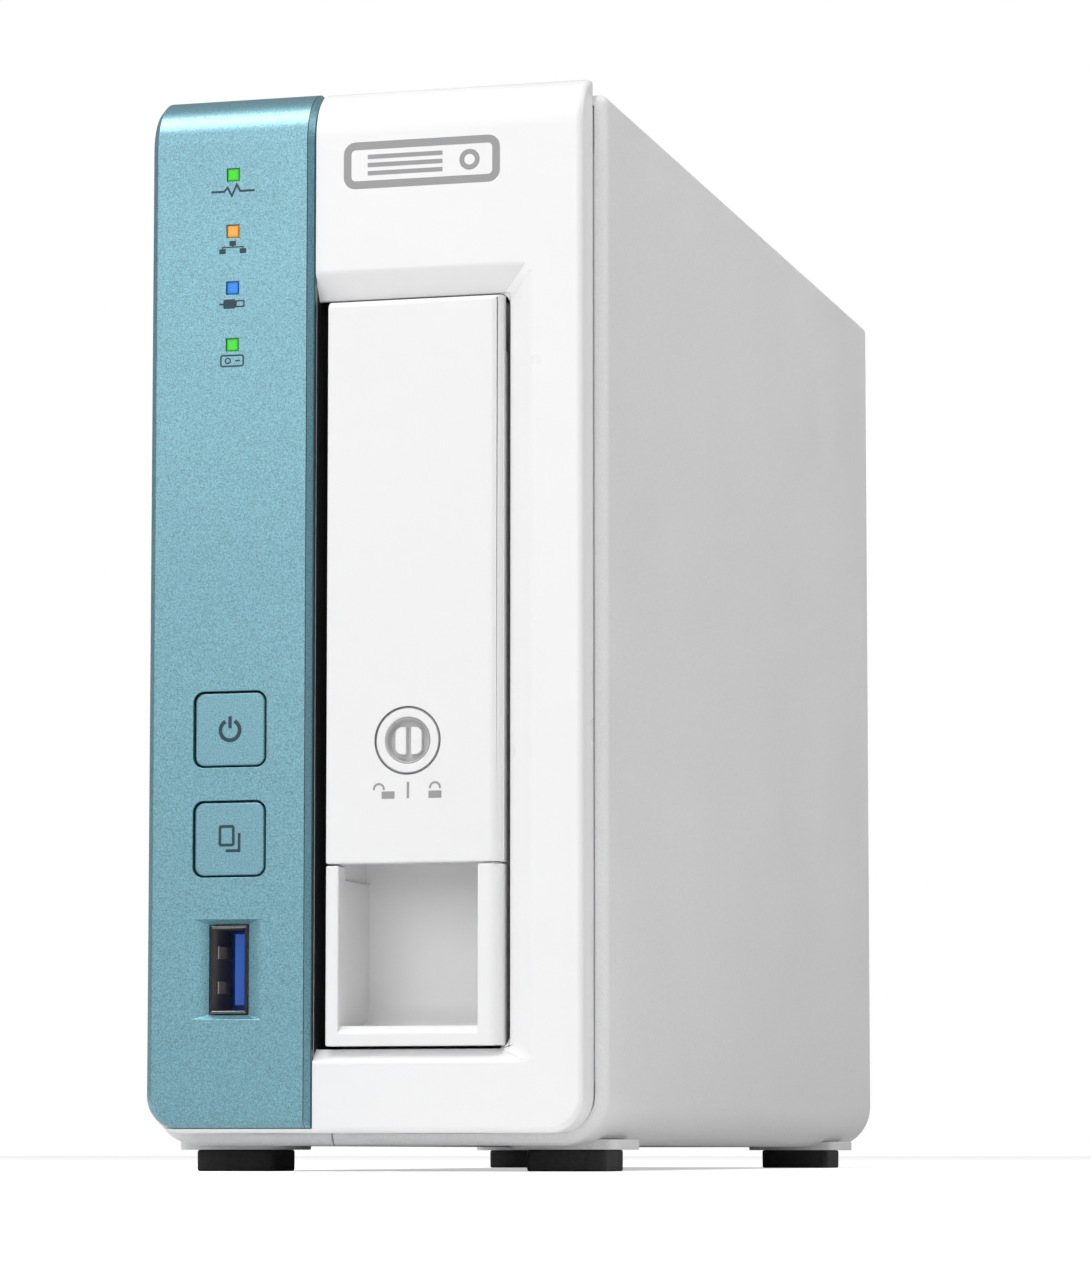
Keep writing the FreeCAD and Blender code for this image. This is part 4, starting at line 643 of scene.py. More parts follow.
def refined(node, name, material, width, share=None, segments=2):
    """A piece with a node's shape and rounded edges, which stands for the node."""
    work = merged_copy(node)
    mesh = bpy.data.meshes.new(name)
    work.to_mesh(mesh)
    work.free()
    body = frame["nodes"][node]["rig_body"]
    item = bpy.data.objects.new(name, mesh)
    bpy.context.scene.collection.objects.link(item)
    mesh.materials.append(material)
    if width:
        round_edges(item, width, share, segments)
    else:
        smooth(mesh)
    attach(item, body)
    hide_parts(node)
    return item


def coat(node, material):
    """Gives a node that is shown as it is a better finish."""
    item = frame["nodes"][node]
    item.data.materials.clear()
    item.data.materials.append(material)


# ---------------------------------------------------------------- flat signs

def arc(centre, radius, start, end, steps=20):
    """Points on an arc in the front plane, from one angle in degrees to another."""
    return [
        (centre[0] + radius * math.cos(math.radians(start + (end - start) * step / steps)),
         centre[1] + radius * math.sin(math.radians(start + (end - start) * step / steps)))
        for step in range(steps + 1)
    ]


def rounded(centre, wide, tall, radius):
    """Corner points of a rounded rectangle in the front plane."""
    points = []
    for index, (side, up) in enumerate(((1, 1), (-1, 1), (-1, -1), (1, -1))):
        middle = (centre[0] + side * (wide / 2 - radius), centre[1] + up * (tall / 2 - radius))
        points += arc(middle, radius, 90 * index, 90 * index + 90, steps=5)
    return points


def slab(work, outline, back, front):
    """A thin closed solid with this outline."""
    rear = [work.verts.new((x, back, z)) for x, z in outline]
    face = [work.verts.new((x, front, z)) for x, z in outline]
    work.faces.new(face)
    work.faces.new(list(reversed(rear)))
    for index in range(len(outline)):
        following = (index + 1) % len(outline)
        work.faces.new((rear[index], rear[following], face[following], face[index]))


def ribbon(work, line, width, back, front, closed=False):
    """A thin closed solid that follows a line of points with one width."""
    count = len(line)
    sides = []
    for index, (x, z) in enumerate(line):
        before = line[index - 1] if closed or index else line[index]
        after = line[(index + 1) % count] if closed or index < count - 1 else line[index]
        into = Vector((x - before[0], z - before[1]))
        out = Vector((after[0] - x, after[1] - z))
        into = into.normalized() if into.length else out.normalized()
        out = out.normalized() if out.length else into
        across = Vector((-(into + out).y, (into + out).x)).normalized()
        reach = width / 2 / max(across.dot(Vector((-into.y, into.x))), 0.5)
        sides.append((Vector((x, z)) + across * reach, Vector((x, z)) - across * reach))
    rings = [
        [work.verts.new((point.x, depth, point.y)) for point in pair for depth in (back, front)]
        for pair in sides
    ]
    last = count if closed else count - 1
    for index in range(last):
        one = rings[index]
        two = rings[(index + 1) % count]
        for low, high in ((0, 1), (1, 3), (3, 2), (2, 0)):
            work.faces.new((one[low], one[high], two[high], two[low]))
    if not closed:
        for ring in (rings[0], rings[-1]):
            work.faces.new((ring[0], ring[1], ring[3], ring[2]))


def sign(name, draw, centre, face, material, body):
    """A printed sign: draw(work, back, front) adds its strokes about the origin, in metres."""
    work = bmesh.new()
    thick = look("plate").print_thick
    draw(work, face + 0.05 * MM, face - thick)
    bmesh.ops.translate(work, verts=work.verts, vec=(centre[0], 0, centre[1]))
    mesh = plain_mesh(work, name)
    return place_piece(name, mesh, material, body)


def scaled(points):
    """Points given in millimetres, in metres."""
    return [(x * MM, z * MM) for x, z in points]


def draw_power(work, back, front):
    """A ring open at the top, with a bar in the opening."""
    ribbon(work, scaled(arc((0, -0.15), 1.58, 118, 422, 36)), 0.62 * MM, back, front)
    ribbon(work, scaled([(0, 0.15), (0, 2.05)]), 0.56 * MM, back, front)


def draw_copy(work, back, front):
    """A sheet with the corner of a second sheet behind it."""
    ribbon(work, scaled(rounded((-0.45, 0.5), 2.2, 2.9, 0.25)), 0.46 * MM, back, front, closed=True)
    ribbon(work, scaled([(-0.6, -1.85), (1.6, -1.85), (1.6, 0.9)]), 0.46 * MM, back, front)


def draw_pulse(work, back, front):
    """A level line with one beat in it."""
    beat = [(-3.6, -0.1), (-1.5, -0.1), (-0.9, 0.5), (-0.2, -0.85), (0.6, 0.95), (1.2, -0.1),
            (3.6, -0.1)]
    ribbon(work, scaled(beat), 0.34 * MM, back, front)


def draw_network(work, back, front):
    """Three boxes on one line."""
    for place in ((0, 0.62), (-1.7, -0.62), (1.7, -0.62)):
        slab(work, scaled(rounded(place, 1.1, 0.8, 0.12)), back, front)
    for line in ([(-1.7, -0.2), (-1.7, 0.02), (1.7, 0.02), (1.7, -0.2)], [(0, 0.02), (0, 0.3)]):
        ribbon(work, scaled(line), 0.2 * MM, back, front)


def draw_port(work, back, front):
    """A plug seen from the side."""
    slab(work, scaled(rounded((-0.5, 0), 2.0, 1.5, 0.2)), back, front)
    ribbon(work, scaled(rounded((1.25, 0), 1.3, 0.9, 0.05)), 0.24 * MM, back, front, closed=True)
    ribbon(work, scaled([(-2.2, 0), (-1.4, 0)]), 0.3 * MM, back, front)


def draw_drive(work, back, front):
    """A drive with its round platter."""
    ribbon(work, scaled(rounded((0, 0), 3.7, 1.7, 0.3)), 0.26 * MM, back, front, closed=True)
    ribbon(work, scaled(arc((-0.7, 0), 0.42, 0, 342, 18)), 0.22 * MM, back, front, closed=True)
    ribbon(work, scaled([(0.5, 0), (1.3, 0)]), 0.26 * MM, back, front)


def draw_bay(work, back, front):
    """A wide drive bay: an outline with air slots and a round catch."""
    ribbon(work, scaled(rounded((0, 0), 24.2, 6.2, 1.3)), 1.25 * MM, back, front, closed=True)
    for index in range(3):
        slot_z = 1.3 - 1.3 * index
        ribbon(work, scaled([(-8.8, slot_z), (3.4, slot_z)]), 0.7 * MM, back, front)
    ribbon(work, scaled(arc((7.8, 0), 1.25, 0, 345, 24)), 0.8 * MM, back, front, closed=True)


def draw_lock_signs(work, back, front):
    """An open padlock, a short bar and a closed padlock, on one line."""
    for centre, lift, side in ((-3.55, 0.0, -1.05), (4.45, 0.1, 0.0)):
        body = centre + (0.0 if side == 0.0 else 0.45)
        slab(work, scaled(rounded((body, -0.85), 2.1, 1.15, 0.12)), back, front)
        bow = [(centre + side - 0.8, lift - 0.05)]
        bow += arc((centre + side, lift + 0.1), 0.8, 180, 0, 10)
        bow.append((centre + side + 0.8, lift - 0.05))
        ribbon(work, scaled(bow), 0.34 * MM, back, front)
    ribbon(work, scaled([(0.1, -1.4), (0.1, 1.15)]), 0.4 * MM, back, front)


# ---------------------------------------------------------------- repeated pieces

def copies_tree():
    """Geometry nodes that put one part at every point, turned by the point's own angles."""
    name = "Copies at points"
    if name in bpy.data.node_groups:
        return bpy.data.node_groups[name]
    tree = bpy.data.node_groups.new(name, "GeometryNodeTree")
    for label, kind in (("Points", "NodeSocketGeometry"), ("Part", "NodeSocketObject"),
                        ("Size", "NodeSocketFloat"), ("Finish", "NodeSocketMaterial")):
        tree.interface.new_socket(label, in_out="INPUT", socket_type=kind)
    tree.interface.new_socket("Geometry", in_out="OUTPUT", socket_type="NodeSocketGeometry")
    source = tree.nodes.new("NodeGroupInput")
    result = tree.nodes.new("NodeGroupOutput")
    part = tree.nodes.new("GeometryNodeObjectInfo")
    angles = tree.nodes.new("GeometryNodeInputNamedAttribute")
    angles.data_type = "FLOAT_VECTOR"
    angles.inputs["Name"].default_value = "angles"
    turn = tree.nodes.new("FunctionNodeEulerToRotation")
    spots = tree.nodes.new("GeometryNodeMeshToPoints")
    copies = tree.nodes.new("GeometryNodeInstanceOnPoints")
    real = tree.nodes.new("GeometryNodeRealizeInstances")
    paint = tree.nodes.new("GeometryNodeSetMaterial")
    link = tree.links.new
    link(source.outputs["Points"], spots.inputs["Mesh"])
    link(source.outputs["Part"], part.inputs["Object"])
    link(spots.outputs["Points"], copies.inputs["Points"])
    link(part.outputs["Geometry"], copies.inputs["Instance"])
    link(angles.outputs["Attribute"], turn.inputs["Euler"])
    link(turn.outputs["Rotation"], copies.inputs["Rotation"])
    link(source.outputs["Size"], copies.inputs["Scale"])
    link(copies.outputs["Instances"], real.inputs["Geometry"])
    link(real.outputs["Geometry"], paint.inputs["Geometry"])
    link(source.outputs["Finish"], paint.inputs["Material"])
    link(paint.outputs["Geometry"], result.inputs["Geometry"])
    return tree


def copies(name, part_mesh, spots, size, material, body, slot, stands_for=()):
    """One piece of many copies of a part; each spot is (place, turn about X, Y and Z)."""
    part = bpy.data.objects.new(name + "_part", part_mesh)
    bpy.context.scene.collection.objects.link(part)
    mesh = bpy.data.meshes.new(name)
    mesh.from_pydata([tuple(place) for place, angles in spots], [], [])
    turns = mesh.attributes.new("angles", "FLOAT_VECTOR", "POINT")
    for index, (place, angles) in enumerate(spots):
        turns.data[index].vector = angles
    item = bpy.data.objects.new(name, mesh)
    bpy.context.scene.collection.objects.link(item)
    modifier = item.modifiers.new("Copies", "NODES")
    tree = copies_tree()
    modifier.node_group = tree
    names = {socket.name: socket.identifier for socket in tree.interface.items_tree
             if socket.in_out == "INPUT"}
    modifier[names["Part"]] = part
    modifier[names["Size"]] = size
    modifier[names["Finish"]] = material
    mesh = plainly(item)
    bpy.data.objects.remove(item)
    bpy.data.objects.remove(part)
    mesh.name = name
    smooth(mesh, math.radians(35))
    return place_piece(name, mesh, None, body, stands_for)


def turned(profile, steps=40):
    """A bmesh turned about Y from a profile of (radius, y); radius 0 closes an end."""
    work = bmesh.new()
    rings = []
    for radius, y in profile:
        if radius == 0:
            rings.append([work.verts.new((0, y, 0))])
            continue
        angle = 2 * math.pi / steps
        rings.append([
            work.verts.new((radius * math.cos(angle * step), y, radius * math.sin(angle * step)))
            for step in range(steps)
        ])
    for one, two in zip(rings, rings[1:]):
        for step in range(steps):
            after = (step + 1) % steps
            corners = [one[step % len(one)], one[after % len(one)],
                       two[after % len(two)], two[step % len(two)]]
            unique = list(dict.fromkeys(corners))
            work.faces.new(unique)
    return work


def screw_mesh():
    """A pan-head screw of radius 1 that points along -Y: domed head, cross recess and shank."""
    work = turned([(0, -4.2), (0.9, -4.0), (1.0, -3.8), (1.0, 0), (1.8, 0), (1.8, 0.42),
                   (1.62, 0.74), (1.2, 0.92), (0.6, 0.99), (0, 1.0)])
    head = bpy.data.objects.new("screw_head", plain_mesh(work, "screw_head"))
    bpy.context.scene.collection.objects.link(head)
    cutter = bmesh.new()
    for wide, deep in ((1.05, 0.19), (0.19, 1.05)):
        made = bmesh.ops.create_cube(cutter, size=2)
        bmesh.ops.scale(cutter, verts=made["verts"], vec=(wide, 0.55, deep))
        bmesh.ops.translate(cutter, verts=made["verts"], vec=(0, 1.0, 0))
    tool = bpy.data.objects.new("cross", plain_mesh(cutter, "cross"))
    bpy.context.scene.collection.objects.link(tool)
    recess = head.modifiers.new("Recess", "BOOLEAN")
    recess.operation = "DIFFERENCE"
    recess.solver = "EXACT"
    recess.use_self = True
    recess.object = tool
    mesh = plainly(head)
    bpy.data.objects.remove(head)
    bpy.data.objects.remove(tool)
    return mesh


def screw_boxes(node):
    """The low and high corner of each separate screw in a node, always in the same order."""
    work = bmesh.new()
    work.from_mesh(frame["nodes"][node].data)
    bmesh.ops.remove_doubles(work, verts=work.verts, dist=MERGE)
    left = set(work.verts)
    boxes = []
    while left:
        todo = [left.pop()]
        found = list(todo)
        while todo:
            vert = todo.pop()
            for edge in vert.link_edges:
                other = edge.other_vert(vert)
                if other in left:
                    left.remove(other)
                    todo.append(other)
                    found.append(other)
        low = Vector([min(vert.co[axis] for vert in found) for axis in range(3)])
        high = Vector([max(vert.co[axis] for vert in found) for axis in range(3)])
        boxes.append((low, high))
    work.free()
    boxes.sort(key=lambda pair: tuple(round(number, 6) for number in pair[0]))
    return boxes


def screws(node, name, way):
    """Cross-head screws in place of a node's plain ones.

    way is the direction that the heads look along, or a function that gives it for a screw's
    middle. A node's screws are all alike, so the last one's radius serves them all."""
    turns = {"+x": (0, 0, -90), "+y": (0, 0, 0), "+z": (90, 0, 0), "-z": (-90, 0, 0)}
    spots = []
    for low, high in screw_boxes(node):
        middle = (low + high) / 2
        facing = way(middle) if callable(way) else way
        along = "xyz".index(facing[1])
        radius = (high - low)[(along + 1) % 3] / HEAD_WIDTH
        rise = radius * HEAD_HEIGHT
        seat = middle.copy()
        seat[along] = high[along] - rise if facing[0] == "+" else low[along] + rise
        spots.append((seat, [math.radians(angle) for angle in turns[facing]]))
    mesh = screw_mesh()
    for vert in mesh.vertices:
        if vert.co.y > 0:
            vert.co.y *= HEAD_HEIGHT
    body = frame["nodes"][node]["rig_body"]
    copies(name, mesh, spots, radius, screw_steel(), body, SLOT_OF[node], (node,))


def blade_mesh():
    """One fan blade that reaches along +X: cambered, leaning and twisted towards its tip."""
    root, span = 12.6 * MM, 14.4 * MM
    root_chord, chord_growth = 6.4, 1.2
    twist = math.radians(9)
    tip_sweep = 3.2 * MM
    camber = 0.9 * MM
    half_thick, rim_thick = 0.62 * MM, 0.10 * MM
    last_row = 8
    rows = []
    work = bmesh.new()
    lean = look("fan").lean
    for step in range(last_row + 1):
        part = step / last_row
        reach = root + part * span
        chord = (root_chord + chord_growth * part) * MM
        angle = lean + twist * part
        sweep = tip_sweep * part * part
        ring = []
        for side in (1, -1):
            spots = range(9) if side == 1 else range(7, 0, -1)
            for index in spots:
                along = index / 4 - 1
                thick = half_thick * (1 - along * along) ** 0.5 + rim_thick
                bow = camber * (1 - along * along)
                flat = Vector((along * chord, bow + side * thick))
                depth = flat.x * math.cos(angle) - flat.y * math.sin(angle)
                across = flat.x * math.sin(angle) + flat.y * math.cos(angle) + sweep
                width = math.sqrt(max(reach * reach - across * across, 1e-9))
                ring.append(work.verts.new((width, depth, across)))
        rows.append(ring)
    count = len(rows[0])
    for one, two in zip(rows, rows[1:]):
        for index in range(count):
            after = (index + 1) % count
            work.faces.new((one[index], one[after], two[after], two[index]))
    work.faces.new(rows[0])
    work.faces.new(list(reversed(rows[-1])))
    return plain_mesh(work, "blade")


def joined(work, other):
    """Adds one bmesh's faces to another and frees the added one."""
    temporary = bpy.data.meshes.new("joined")
    other.to_mesh(temporary)
    other.free()
    work.from_mesh(temporary)
    bpy.data.meshes.remove(temporary)


def box_part(work, low, high, soften=0.0):
    """A box from one corner to the other, with its edges cut back a little."""
    other = bmesh.new()
    made = bmesh.ops.create_cube(other, size=1)
    bmesh.ops.scale(other, verts=made["verts"], vec=Vector(high) - Vector(low))
    bmesh.ops.translate(other, verts=made["verts"], vec=(Vector(high) + Vector(low)) / 2)
    if soften:
        bmesh.ops.bevel(other, geom=list(other.edges), offset=soften, segments=2, affect="EDGES",
                        profile=0.5)
    joined(work, other)


# ---------------------------------------------------------------- building steps

def build_casing():
    """The two covers, and a thin strip on each side that closes the gap beside the front cap."""
    strip_thick, strip_inset = 0.14 * MM, 8 * MM
    strip_drop = 11 * MM
    casing = look("casing")
    seam_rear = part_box("left_cover")[1].y

    def share(middle):
        """Wider rounding on the rear rim than on the vents and the seam."""
        return 1.6 if middle.y > seam_rear - 0.3 * MM else 1.0

    for node in ("left_cover", "right_cover"):
        refined(node, node + "_skin", casing_paint(), casing.edge, share)
    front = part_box("right_cover")[0].y
    cap_low, cap_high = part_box("front_bezel")
    for side, name in ((1, "right_seal"), (-1, "left_seal")):
        seal = bmesh.new()
        edges = sorted((side * cap_high.x, side * (cap_high.x + strip_thick)))
        box_part(seal, (edges[0], front + 0.45 * MM, cap_low.z + strip_inset),
                 (edges[1], front + 3 * MM, cap_high.z - strip_drop), 0.03 * MM)
        mesh = plain_mesh(seal, name)
        place_piece(name, mesh, casing_paint(), "case")


def build_bezel():
    """The front cap, with black painted shade on the walls inside the tray's recess."""
    casing = look("casing")
    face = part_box("front_bezel")[0].y
    low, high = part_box("tray_body")
    plate_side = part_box("front_plate")[1].x

    def share(middle):
        """The rim round the tray's recess is softer than the rest."""
        if middle.y > face + 2.8 * MM or middle.x < plate_side + 1.5 * MM:
            return 0.18
        near = low.x < middle.x < high.x + 8 * MM and middle.z < high.z + 6.5 * MM
        return 1.0 if near and middle.y < face + 0.4 * MM else 0.35

    item = refined("front_bezel", "bezel_skin", front_paint(), casing.recess_edge, share,
                   segments=4)
    item.data.materials.append(painted_shade_liner())
    mouth_low = Vector((low.x - 2.3 * MM, face + 2.9 * MM, low.z - 1.2 * MM))
    mouth_high = Vector((high.x + 1.5 * MM, 1.0, high.z + 1.2 * MM))
    # Painted shade: walls inside the recess's mouth, and the sliver beside the tray, take the black
    # liner.
    for side in item.data.polygons:
        inside = all(mouth_low[axis] < side.center[axis] < mouth_high[axis] for axis in range(3))
        sliver = low.x - 2.7 * MM < side.center.x < low.x - 1.7 * MM
        beside = sliver and low.z - 0.4 * MM < side.center.z < high.z + 0.4 * MM
        if beside or inside and abs(side.normal.y) < 0.5:
            side.material_index = 1


def build_plate():
    """The coloured plate, its two buttons and the signs under the lamps."""
    sign_drop = 2.55 * MM
    plate = look("plate")
    refined("front_plate", "plate_skin", plate_paint(), plate.edge, segments=3)
    for node, draw in (("power_button", draw_power), ("copy_button", draw_copy)):
        refined(node, node + "_cap", plate_paint(), 0.3 * MM, segments=3)
        low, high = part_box(node)
        centre = ((low.x + high.x) / 2, (low.z + high.z) / 2)
        sign(node + "_sign", draw, centre, low.y, print_ink(), node)
    lamps = (("status", draw_pulse), ("network", draw_network), ("usb", draw_port),
             ("drive", draw_drive))
    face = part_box("front_plate")[0].y
    for name, draw in lamps:
        low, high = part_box(name + "_light_pipe")
        centre = ((low.x + high.x) / 2, (low.z + high.z) / 2 - sign_drop)
        sign(name + "_sign", draw, centre, face, print_ink(), "case")


def build_lamps():
    """The four lit lenses."""
    for name in ("status", "network", "usb", "drive"):
        node = name + "_light_pipe"
        low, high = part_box(node)
        colour = tuple(getattr(look("lamp"), name))
        finish = lens(name + " lens", colour, (low + high) / 2, (high.x - low.x) / 2)
        refined(node, name + "_lens", finish, 0.22 * MM, segments=3)


def build_mark():
    """The printed sign of a drive bay above the tray."""
    right, up = 9.2 * MM, 157.1 * MM
    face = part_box("front_bezel")[0].y
    sign("bay_sign", draw_bay, (right, up), face, grey_ink(), "case")


def build_front_port():
    """The shell with its springs, the tongue with its contacts, and black painted shade on the
    shell's front rim and the base behind.
    """
    bright_reach = 6.2 * MM
    base_deep = 2.2 * MM
    low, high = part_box("front_usb_shell")
    middle_z = (low.z + high.z) / 2
    shell = refined("front_usb_shell", "front_port_shell", dull_steel(), 0.08 * MM)
    shell.data.materials.append(painted_shade_liner())
    shell.data.materials.append(plated_steel())
    # Painted shade: the shell's front rim takes the black liner near the middle, and plated steel
    # further out.
    for side in shell.data.polygons:
        if side.center.y < low.y + 0.1 * MM:
            side.material_index = 2 if abs(side.center.z - middle_z) > bright_reach else 1
    insert = refined("front_usb_insert", "front_port_tongue", port_blue(), 0.07 * MM)
    insert.data.materials.append(painted_shade_liner())
    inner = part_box("front_usb_insert")
    # Painted shade: the tongue's rear faces take the black liner.
    for side in insert.data.polygons:
        if side.center.y > inner[1].y - base_deep:
            side.material_index = 1
    front_port_springs(low, high)
    front_port_contacts(low, high, inner)


def front_port_springs(low, high):
    """Two bent leaves on the shell's left wall, which press on a plug."""
    half_width, thick = 0.95 * MM, 0.22 * MM
    springs = bmesh.new()
    for part in (0.3, 0.7):
        middle = low.z + (high.z - low.z) * part
        wall = low.x + 0.42 * MM
        leaf = [(wall - 0.05 * MM, low.y + 8.2 * MM), (wall + 0.75 * MM, low.y + 4.4 * MM),
                (wall + 0.75 * MM, low.y + 3.6 * MM), (wall + 0.25 * MM, low.y + 1.7 * MM)]
        section = ((0, -half_width), (0, half_width), (thick, half_width), (thick, -half_width))
        blade = bmesh.new()
        rows = []
        for x, y in leaf:
            rows.append([blade.verts.new((x + push, y, middle + rise)) for push, rise in section])
        for one, two in zip(rows, rows[1:]):
            for index in range(4):
                after = (index + 1) % 4
                blade.faces.new((one[index], one[after], two[after], two[index]))
        blade.faces.new(rows[0])
        blade.faces.new(list(reversed(rows[-1])))
        joined(springs, blade)
    mesh = plain_mesh(springs, "front_port_springs")
    place_piece("front_port_springs", mesh, dull_steel(), "case")


def front_port_contacts(low, high, inner):
    """Four gold strips on the tongue."""
    pitch, half_width = 2.35 * MM, 0.55 * MM
    contacts = bmesh.new()
    tongue_left = (low.x + high.x) / 2 + 0.75 * MM
    for index in range(4):
        middle = (low.z + high.z) / 2 + (index - 1.5) * pitch
        box_part(contacts, (tongue_left - 0.08 * MM, inner[0].y + 0.9 * MM, middle - half_width),
                 (tongue_left + 0.1 * MM, inner[1].y - 2.5 * MM, middle + half_width), 0.03 * MM)
    mesh = plain_mesh(contacts, "front_port_contacts")
    place_piece("front_port_contacts", mesh, gold_contact(), "case")


def build_lock():
    """A dished plug painted grey as the recess's shade, a rounded boss with a coin slot, and a ring
    of painted shade round it.
    """
    low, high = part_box("lock_barrel")
    radius = (high.x - low.x) / 2
    centre = Vector(((low.x + high.x) / 2, 0, (low.z + high.z) / 2))
    face = low.y
    dish = turned([(0, face + 1.25 * MM), (0.86 * radius, face + 1.2 * MM),
                   (0.92 * radius, face + 0.9 * MM), (0.95 * radius, face + 0.12 * MM),
                   (0.99 * radius, face), (radius, face + 0.1 * MM), (radius, high.y),
                   (0, high.y)], 64)
    bmesh.ops.translate(dish, verts=dish.verts, vec=centre)
    mesh = plain_mesh(dish, "lock_plug")
    smooth(mesh)
    # The plug's grey is painted shade for its dished recess.
    place_piece("lock_plug", mesh, lock_recess_shade(), "lock", ("lock_barrel",))
    lock_boss(centre, face)
    lock_ring(centre)


def lock_boss(centre, face):
    """The raised boss in two halves, with the coin slot between them. Sizes are in mm."""
    slot_half, half_height = 0.4, 2.15
    corner, corner_radius = 1.05, 1.1
    boss = bmesh.new()
    for side in (-1, 1):
        half = [(slot_half, -half_height)] + arc((corner, -corner), corner_radius, 270, 360, 6)
        half += arc((corner, corner), corner_radius, 0, 90, 6) + [(slot_half, half_height)]
        outline = [(x * side, z) for x, z in half]
        slab(boss, scaled(outline), face + 1.4 * MM, face + 0.35 * MM)
    bmesh.ops.translate(boss, verts=boss.verts, vec=centre)
    item = place_piece("lock_boss", plain_mesh(boss, "lock_boss"), front_paint(), "lock")
    round_edges(item, 0.16 * MM, segments=3)


def lock_ring(centre):
    """A fine dark ring of painted shade in the lever's groove."""
    line_radius, line_width = 5.25 * MM, 0.2 * MM
    ring = bmesh.new()
    line = [(x * line_radius, z * line_radius) for x, z in arc((0, 0), 1, 0, 354, 59)]
    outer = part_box("tray_lever")[0].y
    ribbon(ring, line, line_width, outer + 0.2 * MM, outer - 0.005 * MM, closed=True)
    bmesh.ops.translate(ring, verts=ring.verts, vec=centre)
    mesh = plain_mesh(ring, "lock_ring_line")
    place_piece("lock_ring_line", mesh, groove_shade(), "lever")


def build_tray():
    """The tray and its lever, with the lock and the printed lock signs."""
    front_deep, right_rim = 20 * MM, 1.2 * MM
    sign_drop = 7.6 * MM
    low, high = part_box("tray_body")

    def share(middle):
        """The front's edges are rounder than the rails' behind it."""
        if middle.y > low.y + front_deep:
            return 0.4
        return 0.5 if middle.x > high.x - right_rim else 1.0

    soft = look("casing").tray_edge
    refined("tray_body", "tray_skin", tray_paint(), soft, share, segments=3)
    refined("tray_lever", "lever_skin", tray_paint(), soft, share, segments=3)
    refined("lever_pin", "lever_pin_rod", screw_steel(), 0.15 * MM)
    coat("lock_cam", plated_steel())
    build_lock()
    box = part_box("lock_barrel")
    signs_at = ((box[0].x + box[1].x) / 2, (box[0].z + box[1].z) / 2 - sign_drop)
    sign("lock_signs", draw_lock_signs, signs_at, low.y, grey_ink(), "lever")


def build_feet():
    """The four rubber feet."""
    for node in ("front_left_foot", "front_right_foot", "rear_left_foot", "rear_right_foot"):
        refined(node, node + "_pad", foot_rubber(), 0.35 * MM, segments=3)


def build_rear():
    """The rear panel, its sockets and the eight contacts of the network socket."""
    pitch, half_width = 1.02 * MM, 0.2 * MM
    refined("rear_panel", "rear_skin", casing_paint(), 0.14 * MM)
    refined("rear_usb_shells", "rear_port_shells", plated_steel(), 0.07 * MM)
    refined("rear_usb_inserts", "rear_port_tongues", port_blue(), 0.06 * MM)
    refined("power_jack", "power_socket", black_plastic(), 0.2 * MM)
    refined("reset_button", "reset_stem", white_nylon(), 0.15 * MM)
    refined("network_jack", "network_socket", plated_steel(), 0.15 * MM)
    low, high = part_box("network_jack")
    contacts = bmesh.new()
    middle = (low + high) / 2
    for index in range(8):
        spot = middle.z + (index - 3.5) * pitch
        box_part(contacts, (low.x + 2.2 * MM, high.y - 9.5 * MM, spot - half_width),
                 (low.x + 2.9 * MM, high.y - 2.4 * MM, spot + half_width), 0.05 * MM)
    mesh = plain_mesh(contacts, "network_contacts")
    place_piece("network_contacts", mesh, gold_contact(), "case")


def build_fan():
    """The fan's housing, stator, lead and plug, and its rotor of blades on a hub."""
    refined("fan_frame", "fan_housing", fan_plastic(), 0.3 * MM)
    refined("fan_motor", "fan_stator", copper_core(), 0.2 * MM)
    coat("fan_shaft", plated_steel())
    refined("fan_cable", "fan_lead", lead_sleeve(), 0)
    refined("fan_header", "fan_plug", white_nylon(), 0.15 * MM)
    low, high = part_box("fan_rotor")
    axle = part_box("fan_shaft")
    centre = Vector(((axle[0].x + axle[1].x) / 2, 0, (axle[0].z + axle[1].z) / 2))
    count = look("fan").blades
    middle = (low.y + high.y) / 2
    spots = [((centre.x, middle, centre.z), (0, 2 * math.pi * index / count, 0))
             for index in range(count)]
    copies("rotor_blades", blade_mesh(), spots, 1.0, fan_plastic(), "fan", "fan_plastic",
           ("fan_rotor",))
    outer = 13.0 * MM
    wall = 1.6 * MM
    front = low.y
    back = high.y
    hub = turned([(0, front + 0.35 * MM), (6.5 * MM, front + 0.35 * MM), (6.9 * MM, front),
                  (outer - 1.6 * MM, front), (outer - 0.5 * MM, front + 0.45 * MM),
                  (outer, front + 1.6 * MM), (outer, back), (outer - wall, back),
                  (outer - wall, front + wall), (1.0 * MM, front + wall), (0, front + wall)], 72)
    bmesh.ops.translate(hub, verts=hub.verts, vec=centre)
    mesh = plain_mesh(hub, "rotor_hub")
    smooth(mesh)
    place_piece("rotor_hub", mesh, fan_plastic(), "fan")


def build_electronics():
    """The boards and what is soldered on them."""
    for node in ("main_board", "front_board", "backplane_board"):
        coat(node, board_resist())
    for node in ("processor", "memory_chips", "backplane_connector", "board_link_connector",
                 "power_switch", "copy_switch", "coin_cell_holder", "reset_switch"):
        refined(node, node + "_body", black_plastic(), 0.12 * MM)
    for node in ("power_plunger", "copy_plunger"):
        refined(node, node + "_stem", white_nylon(), 0.15 * MM)
    coat("indicator_leds", white_nylon())
    refined("coin_cell", "coin_cell_can", plated_steel(), 0.3 * MM, segments=3)
    refined("heat_sink", "heat_sink_fins", cast_metal(), 0.15 * MM)


